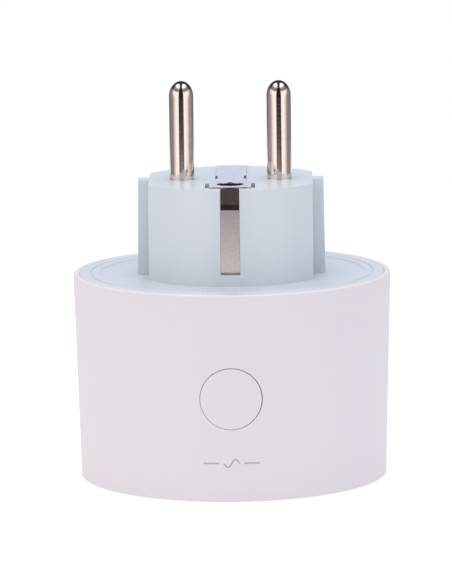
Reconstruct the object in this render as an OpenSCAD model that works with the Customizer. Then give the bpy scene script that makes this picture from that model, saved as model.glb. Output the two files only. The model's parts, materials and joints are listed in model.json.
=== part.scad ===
// Smart plug: a switched adaptor that goes into a round recessed wall outlet and offers the same outlet on its
// other side. It stands on its socket face with the two pins upwards. The button is at -Y.
// Millimetres, +Z up, origin at the centre of the socket face.

/* [Body] */
// Height of the sleeve, from the socket face to the rim
body_h = 40; // [40:0.1:40.4]
// Outer radius of the sleeve at the rim
body_r_top = 31.1; // [30.9:0.1:31.5]
// Outer radius of the sleeve at the socket face
body_r_bottom = 30; // [29.9:0.1:30.4]
// Radius of the round button
button_r = 5.9; // [5.6:0.1:6]
// Travel of the button
button_travel = 0.5; // [0.3:0.1:0.5]

/* [Plug insert] */
// Height of the insert, from the base plate to its face
insert_h = 18.3; // [18:0.1:18.6]
// Radius of the insert at its face
insert_r_top = 18.15; // [18:0.05:18.3]
// Radius of the insert at the base plate
insert_r_base = 18.42; // [18.3:0.02:18.6]
// Distance from the middle to each side flat
insert_flat = 15.95; // [15.8:0.05:16.1]
// Width of the guide rib on each flat
rib_w = 4.4; // [4:0.1:4.8]

/* [Pins] */
// Distance between the two pins
pin_pitch = 19; // [19:0.1:19.2]
// Radius of a pin
pin_r = 2.4; // [2.35:0.05:2.4]
// Length of a pin outside the face
pin_len = 19.2; // [18:0.1:19.5]

/* [Socket] */
// Depth of the socket recess
well_depth = 17.3; // [17:0.1:17.4]
// Radius of the socket recess
well_r = 19.6; // [19.5:0.05:19.7]
// Distance from the middle to each side flat of the recess
well_flat = 16.9; // [16.8:0.1:17.2]
// Radius of the pin holes in the recess floor
pin_hole_r = 2.75; // [2.7:0.05:2.8]

/* [Hidden] */
$fn = 96;
EPS = 0.01;

// colours of the finishes
WHITE_SHELL = [0.88, 0.86, 0.88];
PALE_GREY = [0.80, 0.84, 0.86];
NICKEL = [0.74, 0.70, 0.67];
BRONZE = [0.72, 0.52, 0.30];
STEEL = [0.62, 0.63, 0.65];
BOARD_GREEN = [0.05, 0.25, 0.14];

pin_x = pin_pitch / 2;
pin_root_r = pin_r + 0.2;
button_z = body_h / 2;

// base plate and insert
plate_t = 1.6;
plate_r = 29.8;
plate_z0 = body_h - plate_t;
plate_dish = 0.25;
face_z = body_h + insert_h;
face_t = 2.3;
insert_wall = 1.8;
hollow_r = insert_r_top - insert_wall;
hollow_flat = insert_flat - insert_wall;

// earth strap across the face and down both sides of the insert
strap_t = 0.6;
strap_top = face_z + 0.2;
strap_side = 18.05;
strap_knee_z = face_z - 3;
strap_lean_y = 14.75;
strap_foot_z = body_h + 2;
strap_foot_y = 14.1;
strap_bar_w = 6;
strap_leg_w = 3.7;
strap_head_x = 4.15;
strap_head_y = -7.4;
strap_slot_x = 4.9;
strap_slot_y = -13.8;
strap_slot_t = 1.9;
strap_notch = 0.45;
strap_notch_y = 2;
strap_gap = 0.05;
earth_hole_y = -10;
earth_hole_r = 2.6;
earth_hole_depth = 14.5;

// pillars that tie the contact block to the base plate
pillar_at = [for (a = [55, 125, 215, 325]) 22 * [cos(a), sin(a)]];
pillar_r = 2.8;
pillar_z = 26.5;

// sleeve wall
lip_r = 27.3;
lip_h = 1.2;
wall_r_bottom = 27.9;
wall_r_top = 29.1;
rabbet_r = plate_r + 0.1;
sleeve_edge = 0.4;
rim_edge = 0.2;
button_hole_r = button_r + 0.12;

// button
flange_y = 27.35;
flange_t = 1;
flange_r = button_r + 1;
stem_r = 2;
stem_end_y = 26.12;

// socket recess
face_inset = 0.2;
well_top = well_depth + face_inset;
floor_t = 2.5;
floor_top = well_top + floor_t;
well_wall_r = 21.4;
well_slot = 2.9;
well_flange_r = 27.8;
well_flange_top = 2.8;
clip_room = 20.5;
clip_slot = 2.6;
clip_foot_y = 18.9;
hub_r = 3;
hub_top = floor_top + 2.8;

// shutter under the floor
shutter_z = floor_top + 0.25;
shutter_h = 2.3;
shutter_hub_r = 5;
wing_r = 13.2;
wing_half_angle = 21;
spring_r = 8.6;
lug_angle = 66;
spring_post_angle = 152.5;

// contact block
block_z = hub_top;
block_t = 1.5;
block_deck = block_z + block_t;
block_top = 36.2;
tower = [10.4, 11];
tower_wall = 1.2;

// contacts
contact_t = 0.6;
contact_gap = pin_r + 0.05;
contact_z = block_deck + 0.2;
contact_top = 35;

// boards
board_t = 1.2;
board_top = plate_z0 - 0.1;
board_z = board_top - board_t;
board_r = 26.6;
control_y = -22;
control_t = 1;
control_front = control_y - control_t;
control_half_w = 11;
control_z = [8.5, 34];
header_x = [for (i = [0:5]) -5 + 2 * i];
header_y = -20.75;

// tactile switch
switch_size = 6;
switch_front = control_front - 2.2;
plunger_r = 1.6;
plunger_end = -24.2;
plunger_tip = -26.1;

function body_r(z) = body_r_bottom + (body_r_top - body_r_bottom) * z / body_h;

// a round bar along +Y
module bar_y(r, y0, y1, x = 0, z = 0) {
    translate([x, y0, z]) rotate([-90, 0, 0]) cylinder(r = r, h = y1 - y0);
}

// a box given by its lowest and highest corners
module block(low, high) {
    translate(low) cube(high - low);
}

// an outline in the YZ plane, given a width along X
module bent_strip(outline, width) {
    rotate([90, 0, 90]) linear_extrude(width, center = true) polygon(outline);
}

// ---------- casings ----------

module outer_sleeve() {
    color(WHITE_SHELL)
    difference() {
        rotate_extrude() polygon([
            [lip_r, 0],
            [body_r_bottom - sleeve_edge, 0],
            [body_r(sleeve_edge), sleeve_edge],
            [body_r(body_h - rim_edge), body_h - rim_edge],
            [body_r_top - rim_edge, body_h],
            [rabbet_r, body_h],
            [rabbet_r, plate_z0],
            [wall_r_top, plate_z0],
            [wall_r_bottom, lip_h],
            [lip_r, lip_h]]);
        bar_y(button_hole_r, -body_r_top - 1, -body_r_bottom + 8, z = button_z);
    }
}

module button_cap() {
    color(WHITE_SHELL) {
        intersection() {
            bar_y(button_r, -body_r_top - 1, -flange_y, z = button_z);
            cylinder(r1 = body_r_bottom - 0.05, r2 = body_r_top - 0.05, h = body_h);
        }
        bar_y(flange_r, -flange_y, -flange_y + flange_t, z = button_z);
        bar_y(stem_r, -flange_y + flange_t, -stem_end_y, z = button_z);
    }
}

// the round insert with its two flats, each with a guide rib in the middle
module insert_outside() {
    difference() {
        translate([0, 0, body_h - plate_dish])
            cylinder(r1 = insert_r_base, r2 = insert_r_top, h = insert_h + plate_dish);
        for (side_x = [-1, 1], side_y = [-1, 1])
            translate([side_x * (insert_flat + 5), side_y * (rib_w / 2 + 10), body_h + insert_h / 2])
                cube([10, 20, insert_h + 2], center = true);
    }
}

module insert_hollow() {
    intersection() {
        translate([0, 0, plate_z0 - 1]) cylinder(r = hollow_r, h = face_z - face_t - plate_z0 + 1);
        block([-hollow_flat, -hollow_r, 0], [hollow_flat, hollow_r, face_z]);
    }
}

// flat disc with a sunk middle and a fine groove near its edge
module base_plate() {
    groove_r = 27.6;
    groove = 0.22;
    rotate_extrude() polygon([
        [0, plate_z0],
        [plate_r, plate_z0],
        [plate_r, body_h],
        [groove_r + groove, body_h],
        [groove_r, body_h - groove],
        [groove_r - groove, body_h],
        [26.2, body_h],
        [25.6, body_h - plate_dish],
        [0, body_h - plate_dish]]);
}

// room for the strap in the face and down the two sides, with slots for the tabs of its head
module strap_channel() {
    bed = strap_top - strap_t;
    head_x = strap_head_x + strap_gap;
    block([-strap_bar_w / 2 - strap_gap, earth_hole_y, bed], [strap_bar_w / 2 + strap_gap, 20, face_z + 1]);
    block([-head_x, -strap_lean_y, bed], [head_x, strap_head_y, face_z + 1]);
    for (side = [0, 1]) mirror([side, 0, 0]) {
        block([strap_head_x - 0.7, strap_slot_y, face_z - strap_slot_t],
              [strap_slot_x, strap_head_y, face_z + 1]);
        block([strap_bar_w / 2 - strap_notch, -strap_notch_y, face_z - strap_slot_t],
              [strap_bar_w / 2 + strap_gap, strap_notch_y, face_z + 1]);
    }
    side_groove(strap_leg_w, -1);
    side_groove(strap_bar_w, 1);
    leaning_groove(strap_leg_w);
}

module side_groove(width, side) {
    half = width / 2 + strap_gap;
    bed_y = strap_side - strap_t - 0.05;
    mirror([0, side < 0 ? 1 : 0, 0]) {
        block([-half, bed_y, strap_foot_z - 0.05], [half, 20, face_z + 1]);
        block([-half, strap_foot_y - 1, strap_foot_z - 0.05], [half, 20, strap_foot_z + strap_t + 0.1]);
    }
}

// the front leg leans, so its groove opens towards the face
module leaning_groove(width) {
    bed = strap_top - strap_t;
    start = strap_lean_y - 0.4;
    translate([width / 2 + strap_gap, 0, 0]) rotate([0, -90, 0])
        linear_extrude(width + 2 * strap_gap)
            polygon([[bed, -start], [strap_knee_z - 0.2, 0.65 - strap_side], [strap_knee_z - 0.2, -20],
                     [face_z + 1, -20], [face_z + 1, -start]]);
}

module plug_base() {
    color(PALE_GREY)
    difference() {
        union() {
            difference() {
                union() {
                    base_plate();
                    insert_outside();
                }
                insert_hollow();
            }
            for (side = [-1, 1])
                block([-4.6, side > 0 ? 15.2 : -17, plate_z0], [4.6, side > 0 ? 17 : -15.2, face_z - 1]);
            block([-4.6, -16, strap_knee_z - 2], [4.6, -14.2, face_z - 1]);
            translate([0, earth_hole_y, face_z - earth_hole_depth - 1])
                cylinder(r = earth_hole_r + 1.3, h = earth_hole_depth);
            for (p = pillar_at)
                translate([p[0], p[1], pillar_z]) cylinder(r = pillar_r, h = plate_z0 - pillar_z + 0.5);
        }
        for (side = [-1, 1])
            translate([side * pin_x, 0, face_z - 5]) cylinder(r = pin_root_r + 0.02, h = 10);
        translate([0, earth_hole_y, face_z - earth_hole_depth]) cylinder(r = earth_hole_r, h = 20);
        for (p = pillar_at)
            translate([p[0], p[1], pillar_z - 1]) cylinder(r = 1.25, h = 11);
        strap_channel();
    }
}

// side flats of the recess, each split by the slot for the guide rib
module well_flats() {
    intersection() {
        translate([0, 0, face_inset]) cylinder(r = well_r + 0.5, h = well_depth + 0.5);
        union() {
            for (side_x = [-1, 1], side_y = [-1, 1])
                translate([side_x * (well_flat + 5), side_y * (well_slot + 10), 10])
                    cube([10, 20, 30], center = true);
        }
    }
}

module socket_well() {
    mouth = 0.6;
    color(PALE_GREY)
    difference() {
        union() {
            rotate_extrude() polygon([
                [well_r + mouth, face_inset],
                [lip_r - 0.1, face_inset],
                [lip_r - 0.1, lip_h],
                [well_flange_r, lip_h],
                [well_flange_r, well_flange_top],
                [well_wall_r, well_flange_top],
                [well_wall_r, floor_top],
                [0, floor_top],
                [0, well_top],
                [well_r, well_top],
                [well_r, face_inset + mouth]]);
            well_flats();
            translate([0, 0, floor_top - 0.5]) cylinder(r = hub_r, h = hub_top - floor_top + 0.5);
            rotate(spring_post_angle)
                block([6.6, -0.6, floor_top - 0.5], [10, 0.6, hub_top - 0.1]);
            for (side = [-1, 1])
                block([side * 8 - 2, control_y, 9], [side * 8 + 2, -18.8, 13]);
        }
        for (side = [-1, 1]) {
            translate([side * pin_x, 0, well_top - 1]) cylinder(r = pin_hole_r, h = floor_t + 2);
            translate([side * pin_x, 0, well_top - EPS])
                cylinder(r1 = pin_hole_r + 0.5, r2 = pin_hole_r, h = 0.5);
            block([-clip_slot, side > 0 ? 18 : -clip_room, well_top - 1],
                  [clip_slot, side > 0 ? clip_room : -18, floor_top + 1]);
            block([-clip_slot, side > 0 ? 18 : -clip_room, 2.2],
                  [clip_slot, side > 0 ? clip_room : -18, floor_top + 1]);
            bar_y(0.95, control_y - 1, -19, x = side * 8, z = 11);
        }
        translate([0, 0, well_top - 1]) cylinder(r = 2.95, h = 2.8);
        translate([0, 0, well_top - 1]) cylinder(r = 1.6, h = 10);
    }
}

// ---------- pins and earth path ----------

module plug_pin() {
    tail_z = face_z - 10;
    color(NICKEL) {
        translate([0, 0, face_z - EPS]) cylinder(r = pin_r, h = pin_len - pin_r + EPS);
        translate([0, 0, face_z + pin_len - pin_r]) sphere(r = pin_r);
        translate([0, 0, face_z - face_t]) cylinder(r = pin_root_r, h = face_t);
        translate([0, 0, face_z - face_t - 1.5]) cylinder(r = pin_r + 1, h = 1.5);
        translate([0, 0, tail_z]) cylinder(r = 2, h = 10 - face_t - 1.5 + EPS);
    }
}

module line_pin() {
    translate([pin_x, 0, 0]) plug_pin();
}

module neutral_pin() {
    translate([-pin_x, 0, 0]) plug_pin();
}

// the strap's foot and side, from the foot inwards to the knee inside
function strap_side_points(knee_in) = let (s = strap_side, t = strap_t, foot = strap_foot_z)
    [[s, foot], [strap_foot_y, foot], [strap_foot_y, foot + t], [s - t, foot + t], [s - t, knee_in]];

// rear half: flat across the face, one tight bend, straight down
function strap_rear() = let (s = strap_side, t = strap_t, top = strap_top)
    concat([[0, top - t], [0, top], [s - 0.25, top], [s, top - 0.25]], strap_side_points(top - t));

// front half: it leans outwards from the head to the knee, as a lead-in for an outlet's clip
function strap_front() = let (t = strap_t, top = strap_top, lean = strap_lean_y)
    concat([[0, top - t], [0, top], [lean, top], [strap_side, strap_knee_z]],
           strap_side_points(strap_knee_z - 0.2), [[lean - 0.32, top - t]]);

module strap_head() {
    z0 = strap_top - strap_t;
    y0 = -strap_lean_y;
    y1 = strap_head_y - strap_gap;
    x = strap_head_x;
    translate([0, 0, z0]) linear_extrude(strap_t)
        polygon([[-x, y1], [-x, y0 + 0.7], [0.7 - x, y0], [x - 0.7, y0], [x, y0 + 0.7], [x, y1]]);
    for (side = [0, 1]) mirror([side, 0, 0])
        block([x - strap_t, strap_slot_y + 0.4, strap_top - 1.6], [x, y1, strap_top]);
}

module earth_strap() {
    color(NICKEL)
    difference() {
        union() {
            bent_strip(strap_rear(), strap_bar_w);
            mirror([0, 1, 0]) bent_strip(strap_front(), strap_leg_w);
            block([-strap_bar_w / 2, earth_hole_y, strap_top - strap_t], [strap_bar_w / 2, EPS, strap_top]);
            strap_head();
        }
        translate([0, earth_hole_y, 0]) cylinder(r = earth_hole_r, h = 80);
        for (side = [-1, 1])
            translate([side * strap_bar_w / 2, 0, strap_top])
                cube([strap_notch * 2, strap_notch_y * 2, 4], center = true);
    }
}

module earth_link() {
    y0 = -strap_foot_y - 0.8;
    color(BRONZE) {
        block([-2, y0, block_deck + 0.8], [2, -strap_foot_y, strap_foot_z]);
        block([-2, y0, block_deck + 0.8], [2, y0 + 3, block_deck + 1.4]);
    }
}

module earth_bracket() {
    z0 = block_deck;
    z1 = z0 + 0.8;
    tab_y = clip_foot_y - 0.05;
    tab_t = 0.6;
    color(BRONZE)
    difference() {
        union() {
            block([-3, -tab_y, z0], [3, tab_y, z1]);
            translate([0, 0, z0]) cylinder(r = 4.2, h = z1 - z0);
            for (side = [-1, 1])
                block([-2.2, side > 0 ? tab_y - tab_t : -tab_y, hub_top - 1.6],
                      [2.2, side > 0 ? tab_y : tab_t - tab_y, z0 + EPS]);
        }
        translate([0, 0, z0 - 1]) cylinder(r = 2.9, h = 3);
    }
}

// a springy strip that leans into the recess, with a turned-out free end
function clip_outline() = let (y = clip_foot_y, t = 0.6, top = block_deck - 0.3)
    [[y + t, top], [y + t, 17.5], [y - 1.35, 9.3], [y - 1.35, 8.3], [y, 4.2], [y - t, 4.2], [y - 2, 8.2],
     [y - 2, 9.5], [y, 17.7], [y, top]];

module earth_clip_rear() {
    color(NICKEL) bent_strip(clip_outline(), 4);
}

module earth_clip_front() {
    color(NICKEL) mirror([0, 1, 0]) bent_strip(clip_outline(), 4);
}

// ---------- current path ----------

// a channel that grips a pin between two leaves, with a flared mouth and a solder tail
module pin_contact() {
    g = contact_gap;
    back = 3.2;
    color(BRONZE) {
        for (side = [-1, 1]) mirror([side < 0 ? 1 : 0, 0, 0]) {
            block([g, -3, contact_z + 1], [g + contact_t, back + contact_t, contact_top]);
            rotate([90, 0, 0]) translate([0, 0, -3]) linear_extrude(6)
                polygon([[g, contact_z + 1 + EPS], [g + contact_t, contact_z + 1 + EPS],
                         [g + contact_t + 0.7, contact_z], [g + 0.7, contact_z]]);
        }
        block([-g - contact_t, back, contact_z + 1], [g + contact_t, back + contact_t, contact_top]);
        block([-1.5, back, contact_top - EPS], [1.5, back + contact_t, board_top + 0.5]);
    }
}

module live_contact() {
    translate([pin_x, 0, 0]) pin_contact();
}

module neutral_contact() {
    translate([-pin_x, 0, 0]) pin_contact();
}

// an eye round the pin's tail, and a strip that runs down into the main board
module busbar() {
    eye_z = face_z - 9;
    color(BRONZE)
    difference() {
        union() {
            translate([0, 0, eye_z]) cylinder(r = 3.5, h = 0.8);
            block([-2, -4.6, eye_z], [2, 0, eye_z + 0.8]);
            block([-2, -4.6, board_z - 0.6], [2, -3.8, eye_z + EPS]);
        }
        translate([0, 0, eye_z - 1]) cylinder(r = 2.02, h = 3);
    }
}

module line_busbar() {
    translate([pin_x, 0, 0]) busbar();
}

module neutral_busbar() {
    translate([-pin_x, 0, 0]) busbar();
}

module contact_block() {
    color([0.20, 0.21, 0.22])
    difference() {
        union() {
            translate([0, 0, block_z]) cylinder(r = 17.6, h = block_t);
            translate([0, 0, block_z]) cylinder(r = 2.8, h = 10);
            for (side = [-1, 1])
                block([side * pin_x - tower[0] / 2, -tower[1] / 2, block_z],
                      [side * pin_x + tower[0] / 2, tower[1] / 2, block_top]);
            for (p = pillar_at) {
                rotate(atan2(p[1], p[0])) block([15, -2.4, block_z + 0.2], [20, 2.4, block_deck - 0.2]);
                translate([p[0], p[1], block_z]) cylinder(r = 3.2, h = pillar_z - block_z);
            }
        }
        for (side = [-1, 1]) {
            block([side * pin_x - tower[0] / 2 + tower_wall, -tower[1] / 2 + tower_wall, block_deck],
                  [side * pin_x + tower[0] / 2 - tower_wall, tower[1] / 2 - tower_wall, block_top + 1]);
            translate([side * pin_x, 0, block_z - 1]) cylinder(r = 3.2, h = 4);
        }
        for (p = pillar_at)
            translate([p[0], p[1], block_z - 1]) cylinder(r = 1.6, h = 6);
        translate([0, 0, block_z - 1]) cylinder(r = 1.25, h = 10.5);
    }
}

// ---------- shutter ----------

module wedge(half_angle, r) {
    polygon([[0, 0], [r, -r * tan(half_angle)], [r, r * tan(half_angle)]]);
}

// one wing covers a pin hole; its slope lets a pin push it aside
module shutter_wing() {
    difference() {
        intersection() {
            cylinder(r = wing_r, h = shutter_h);
            linear_extrude(shutter_h) wedge(wing_half_angle, 20);
        }
        translate([0, 1.2, 0]) rotate([-25, 0, 0]) translate([6.6, -10, -6]) cube([10, 10, 6]);
    }
}

module shutter() {
    color(PALE_GREY)
    translate([0, 0, shutter_z])
    difference() {
        union() {
            cylinder(r = shutter_hub_r, h = shutter_h);
            for (a = [0, 180]) rotate(a) shutter_wing();
            rotate(lug_angle) block([4, -0.6, 0], [10, 0.6, shutter_h]);
        }
        translate([0, 0, -1]) cylinder(r = hub_r + 0.08, h = 5);
    }
}

// points along the coil, between the lug and the post
spring_turns = 7;
spring_steps = 12;
spring_coil_r = 0.85;
spring_wire_r = 0.16;
spring_sides = 8;
spring_gap_angle = 10;
spring_from = spring_r * [cos(lug_angle + spring_gap_angle), sin(lug_angle + spring_gap_angle)];
spring_to = spring_r * [cos(spring_post_angle - spring_gap_angle), sin(spring_post_angle - spring_gap_angle)];
spring_len = norm(spring_to - spring_from);

function coil_point(i, radius) = let (a = 360 * i / spring_steps, n = spring_turns * spring_steps)
    [radius * cos(a), radius * sin(a), spring_len * i / n];

function coil_ring(i) = let (a = 360 * i / spring_steps, c = coil_point(i, spring_coil_r))
    [for (s = [0:spring_sides - 1]) let (b = 360 * s / spring_sides)
        c + spring_wire_r * (cos(b) * [cos(a), sin(a), 0] + sin(b) * [0, 0, 1])];

module shutter_spring() {
    n = spring_turns * spring_steps;
    m = spring_sides;
    points = [for (i = [0:n]) each coil_ring(i)];
    sides = [for (i = [0:n - 1], s = [0:m - 1]) let (a = i * m + s, b = i * m + (s + 1) % m)
        each [[a, a + m, b], [b, a + m, b + m]]];
    ends = [[for (s = [0:m - 1]) s], [for (s = [0:m - 1]) n * m + m - 1 - s]];
    heading = atan2(spring_to[1] - spring_from[1], spring_to[0] - spring_from[0]);
    color(STEEL)
    translate([spring_from[0], spring_from[1], shutter_z + 1.15])
        rotate(heading) rotate([0, 90, 0]) polyhedron(points, concat(sides, ends));
}

// ---------- electronics ----------

module main_board() {
    color(BOARD_GREEN)
    difference() {
        translate([0, 0, board_z]) cylinder(r = board_r, h = board_t);
        for (p = pillar_at)
            translate([p[0], p[1], board_z - 1]) cylinder(r = pillar_r + 0.2, h = 4);
        for (side = [-1, 1]) {
            translate([side * pin_x, 0, board_z - 1]) cylinder(r = 3, h = 4);
            block([side * pin_x - 2.1, -4.7, board_z - 1], [side * pin_x + 2.1, -3.7, board_top + 1]);
            block([side * pin_x - 1.6, 3.15, board_z - 1], [side * pin_x + 1.6, 3.85, board_top + 1]);
        }
        block([-2.2, -strap_foot_y - 1, board_z - 1], [2.2, -strap_foot_y + 0.2, board_top + 1]);
        for (x = header_x)
            translate([x, header_y, board_z - 1]) cylinder(r = 0.5, h = 4);
    }
}

module relay() {
    low = [-5.1, -4.6, board_top];
    high = [5.1, 13.8, board_top + 15.2];
    color([0.10, 0.10, 0.11])
    difference() {
        block(low, high);
        for (side = [-1, 1])
            translate([side * 5.1, 4.6, high[2]]) rotate([0, 45, 0]) cube([1, 30, 1], center = true);
        block([-6, 3.6, high[2] - 0.3], [6, 4.6, high[2] + 1]);
    }
}

// an upright can that hangs from the board, with a crimp ring near its rubber bung
module can_capacitor(r, h, x, y) {
    translate([x, y, board_z - h]) rotate_extrude() polygon([
        [0, 0], [r - 0.4, 0], [r, 0.4], [r, h - 2], [r - 0.4, h - 1.6], [r - 0.4, h - 1.2],
        [r, h - 0.8], [r, h], [0, h]]);
}

module storage_capacitor() {
    color([0.12, 0.13, 0.30]) can_capacitor(4, 11, -4.7, 11.5);
}

module supply_capacitor() {
    color([0.12, 0.13, 0.30]) can_capacitor(3.15, 9, 4.7, 11.5);
}

module film_capacitor() {
    color([0.82, 0.70, 0.20]) block([-6.5, -13.4, board_z - 10.4], [6.5, -7.4, board_z]);
}

module varistor() {
    x = 19;
    y = 3;
    z = board_z - 6.5;
    color([0.10, 0.32, 0.62]) {
        translate([x - 1.8, y, z]) rotate([0, 90, 0]) cylinder(r = 4.5, h = 3.6);
        for (side = [-1, 1])
            translate([x, y + side * 2.5, z + 3]) cylinder(r = 0.4, h = board_z - z - 3);
    }
}

module fuse() {
    x = -19.5;
    z = board_z - 3.4;
    color([0.80, 0.77, 0.70]) {
        bar_y(1.8, -4, 4, x = x, z = z);
        for (side = [-1, 1]) {
            bar_y(2, side > 0 ? 4 : -6, side > 0 ? 6 : -4, x = x, z = z);
            translate([x, side * 5, z]) cylinder(r = 0.4, h = 3.4);
        }
    }
}

module inductor() {
    color([0.16, 0.16, 0.17])
    translate([0, 21.3, board_z - 8.5]) {
        cylinder(r = 3.5, h = 1.2);
        cylinder(r = 2.7, h = 8.5);
        translate([0, 0, 7.3]) cylinder(r = 3.5, h = 1.2);
    }
}

module converter_chip() {
    color([0.07, 0.07, 0.08]) block([-16.5, 9, board_z - 1.6], [-11.6, 12.9, board_z]);
}

module rectifier() {
    color([0.07, 0.07, 0.08]) block([12, 9, board_z - 2.2], [16.4, 13.6, board_z]);
}

module current_shunt() {
    color([0.30, 0.30, 0.31]) block([-14.5, -10.4, board_z - 1], [-8.3, -7.2, board_z]);
}

module header_block() {
    color([0.08, 0.08, 0.08])
    difference() {
        block([header_x[0] - 1.2, control_y, 31], [header_x[5] + 1.2, header_y + 1.2, 33.4]);
        for (x = header_x)
            translate([x, header_y, 30]) cylinder(r = 0.34, h = 5);
    }
}

module header_pins() {
    color(BRONZE)
    for (x = header_x)
        translate([x, header_y, 31.5]) cylinder(r = 0.32, h = board_top - 31.5);
}

module control_board() {
    color(BOARD_GREEN)
    difference() {
        block([-control_half_w, control_front, control_z[0]], [control_half_w, control_y, control_z[1]]);
        for (side = [-1, 1])
            bar_y(1.1, control_front - 1, control_y + 1, x = side * 8, z = 11);
    }
}

module switch_body() {
    half = switch_size / 2;
    color([0.13, 0.13, 0.14])
    difference() {
        block([-half, switch_front, button_z - half], [half, control_front, button_z + half]);
        bar_y(plunger_r + 0.08, switch_front - 1, plunger_end + button_travel + 0.1, z = button_z);
    }
}

module switch_plunger() {
    color([0.75, 0.74, 0.70]) bar_y(plunger_r, plunger_tip, plunger_end, z = button_z);
}

module radio_board() {
    color([0.05, 0.16, 0.30]) block([-8, control_front - 0.8, 25], [8, control_front, 33.6]);
}

module radio_shield() {
    color(STEEL) block([-5.5, control_front - 2.5, 25.4], [5.5, control_front - 0.8, 30.6]);
}

// a printed meander
module antenna() {
    y0 = control_front - 0.9;
    y1 = control_front - 0.8;
    color(BRONZE) {
        for (i = [0:6])
            block([-6 + 2 * i - 0.2, y0, 31], [-6 + 2 * i + 0.2, y1, 33.2]);
        for (i = [0:5])
            block([-6 + 2 * i - 0.2, y0, i % 2 == 0 ? 32.8 : 31], [-4 + 2 * i + 0.2, y1, i % 2 == 0 ? 33.2 : 31.4]);
    }
}

module status_led() {
    color([0.95, 0.95, 0.85]) block([4.6, control_front - 0.7, 19.4], [6.2, control_front, 20.6]);
}

// ---------- fasteners ----------

// a pan-headed screw that points up, with a hexagon recess
module screw(head_r, head_h, shank_r, shank_l, key_r) {
    color(STEEL)
    difference() {
        union() {
            cylinder(r = head_r, h = head_h);
            cylinder(r = shank_r, h = head_h + shank_l);
        }
        translate([0, 0, -1]) cylinder(r = key_r, h = 1 + head_h * 0.6, $fn = 6);
    }
}

module case_screw() {
    translate([0, 0, well_top + 0.1]) screw(2.7, 1.7, 1.2, 11, 1.3);
}

module chassis_screws() {
    for (p = pillar_at)
        translate([p[0], p[1], block_z - 1.8]) screw(2.6, 1.8, 1.2, 11, 1.2);
}

module board_screws() {
    for (side = [-1, 1])
        translate([side * 8, control_front - 1.2, 11]) rotate([-90, 0, 0]) screw(1.8, 1.2, 0.9, 3.6, 0.8);
}

outer_sleeve();
plug_base();
socket_well();
button_cap();
line_pin();
neutral_pin();
earth_strap();
earth_link();
earth_bracket();
earth_clip_front();
earth_clip_rear();
live_contact();
neutral_contact();
line_busbar();
neutral_busbar();
contact_block();
shutter();
shutter_spring();
main_board();
relay();
storage_capacitor();
supply_capacitor();
film_capacitor();
varistor();
fuse();
inductor();
converter_chip();
rectifier();
current_shunt();
header_block();
header_pins();
control_board();
switch_body();
switch_plunger();
radio_board();
radio_shield();
antenna();
status_led();
case_screw();
chassis_screws();
board_screws();
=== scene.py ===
# %% [markdown]
# # A smart plug, piece by piece
# This lesson dresses a finished mechanical frame: a plug-in smart socket that stands on its socket face
# with two pins upwards. The frame gives every size and place. What is added here is the part of the object
# that eyes meet: rounded edges, moulded plastic, plated metal, and a soft studio around it.

# %% Load the frame
import bpy, bmesh, json, math
import numpy as np
from mathutils import Matrix, Quaternion, Vector

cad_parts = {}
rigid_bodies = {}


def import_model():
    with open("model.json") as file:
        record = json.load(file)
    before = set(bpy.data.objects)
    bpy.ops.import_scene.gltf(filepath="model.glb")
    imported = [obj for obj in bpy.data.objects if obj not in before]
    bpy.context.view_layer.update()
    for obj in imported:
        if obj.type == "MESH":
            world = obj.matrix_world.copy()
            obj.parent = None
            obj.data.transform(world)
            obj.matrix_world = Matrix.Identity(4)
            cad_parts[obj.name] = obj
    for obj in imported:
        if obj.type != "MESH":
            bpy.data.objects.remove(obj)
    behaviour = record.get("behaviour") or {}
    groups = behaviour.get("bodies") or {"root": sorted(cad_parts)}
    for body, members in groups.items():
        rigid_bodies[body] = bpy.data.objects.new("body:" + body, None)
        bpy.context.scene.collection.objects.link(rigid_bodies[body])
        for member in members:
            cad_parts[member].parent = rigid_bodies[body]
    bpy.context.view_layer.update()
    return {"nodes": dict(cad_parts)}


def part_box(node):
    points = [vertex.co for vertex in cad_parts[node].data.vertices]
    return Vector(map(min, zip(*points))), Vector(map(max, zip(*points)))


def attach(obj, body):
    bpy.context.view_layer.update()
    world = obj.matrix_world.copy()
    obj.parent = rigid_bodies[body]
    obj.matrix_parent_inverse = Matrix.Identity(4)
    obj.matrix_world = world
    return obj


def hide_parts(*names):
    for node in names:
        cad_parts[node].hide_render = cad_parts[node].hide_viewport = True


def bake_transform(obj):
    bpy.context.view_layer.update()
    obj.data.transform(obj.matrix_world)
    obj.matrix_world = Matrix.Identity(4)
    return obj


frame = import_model()

# %% [markdown]
# ## Sizes taken from the frame
# Everything is thought of in millimetres and turned into metres once, when a mesh is made. The few sizes
# that a box alone can't tell, such as the draft of the sleeve, are written out as the maker's drawing would
# give them.

# %% Sizes
MM = 0.001
def low_high(node):
    low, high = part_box(node)
    return np.array(low) / MM, np.array(high) / MM

sleeve_high = low_high("outer_sleeve")[1]
base_low, base_high = low_high("plug_base")
cap_low, cap_high = low_high("button_cap")
pin_low, pin_high = low_high("line_pin")
RIM_Z = sleeve_high[2]
RIM_R = sleeve_high[0]
FOOT_R = 30.0
FACE_Z = base_high[2]
PLATE_R = base_high[0]
BUTTON_Z = (cap_low[2] + cap_high[2]) / 2
BUTTON_R = (cap_high[2] - cap_low[2]) / 2 - 1
PIN_X = (pin_low[0] + pin_high[0]) / 2
PIN_TOP = pin_high[2]
PIN_R = 2.4
PIN_TIP = 2.95
print("rim", RIM_Z, "face", FACE_Z, "pin tops", PIN_TOP, "button centre", BUTTON_Z)

def skin_r(z):
    """Radius of the sleeve's tapered skin at a height."""
    return FOOT_R + (RIM_R - 0.03 - FOOT_R) * z / RIM_Z

def on_skin(x, z, inset=0.0):
    """The point of the front skin that lies behind (x, z)."""
    r = skin_r(z) - inset
    return (x, -math.sqrt(max(r * r - x * x, 0)), z)

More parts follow.
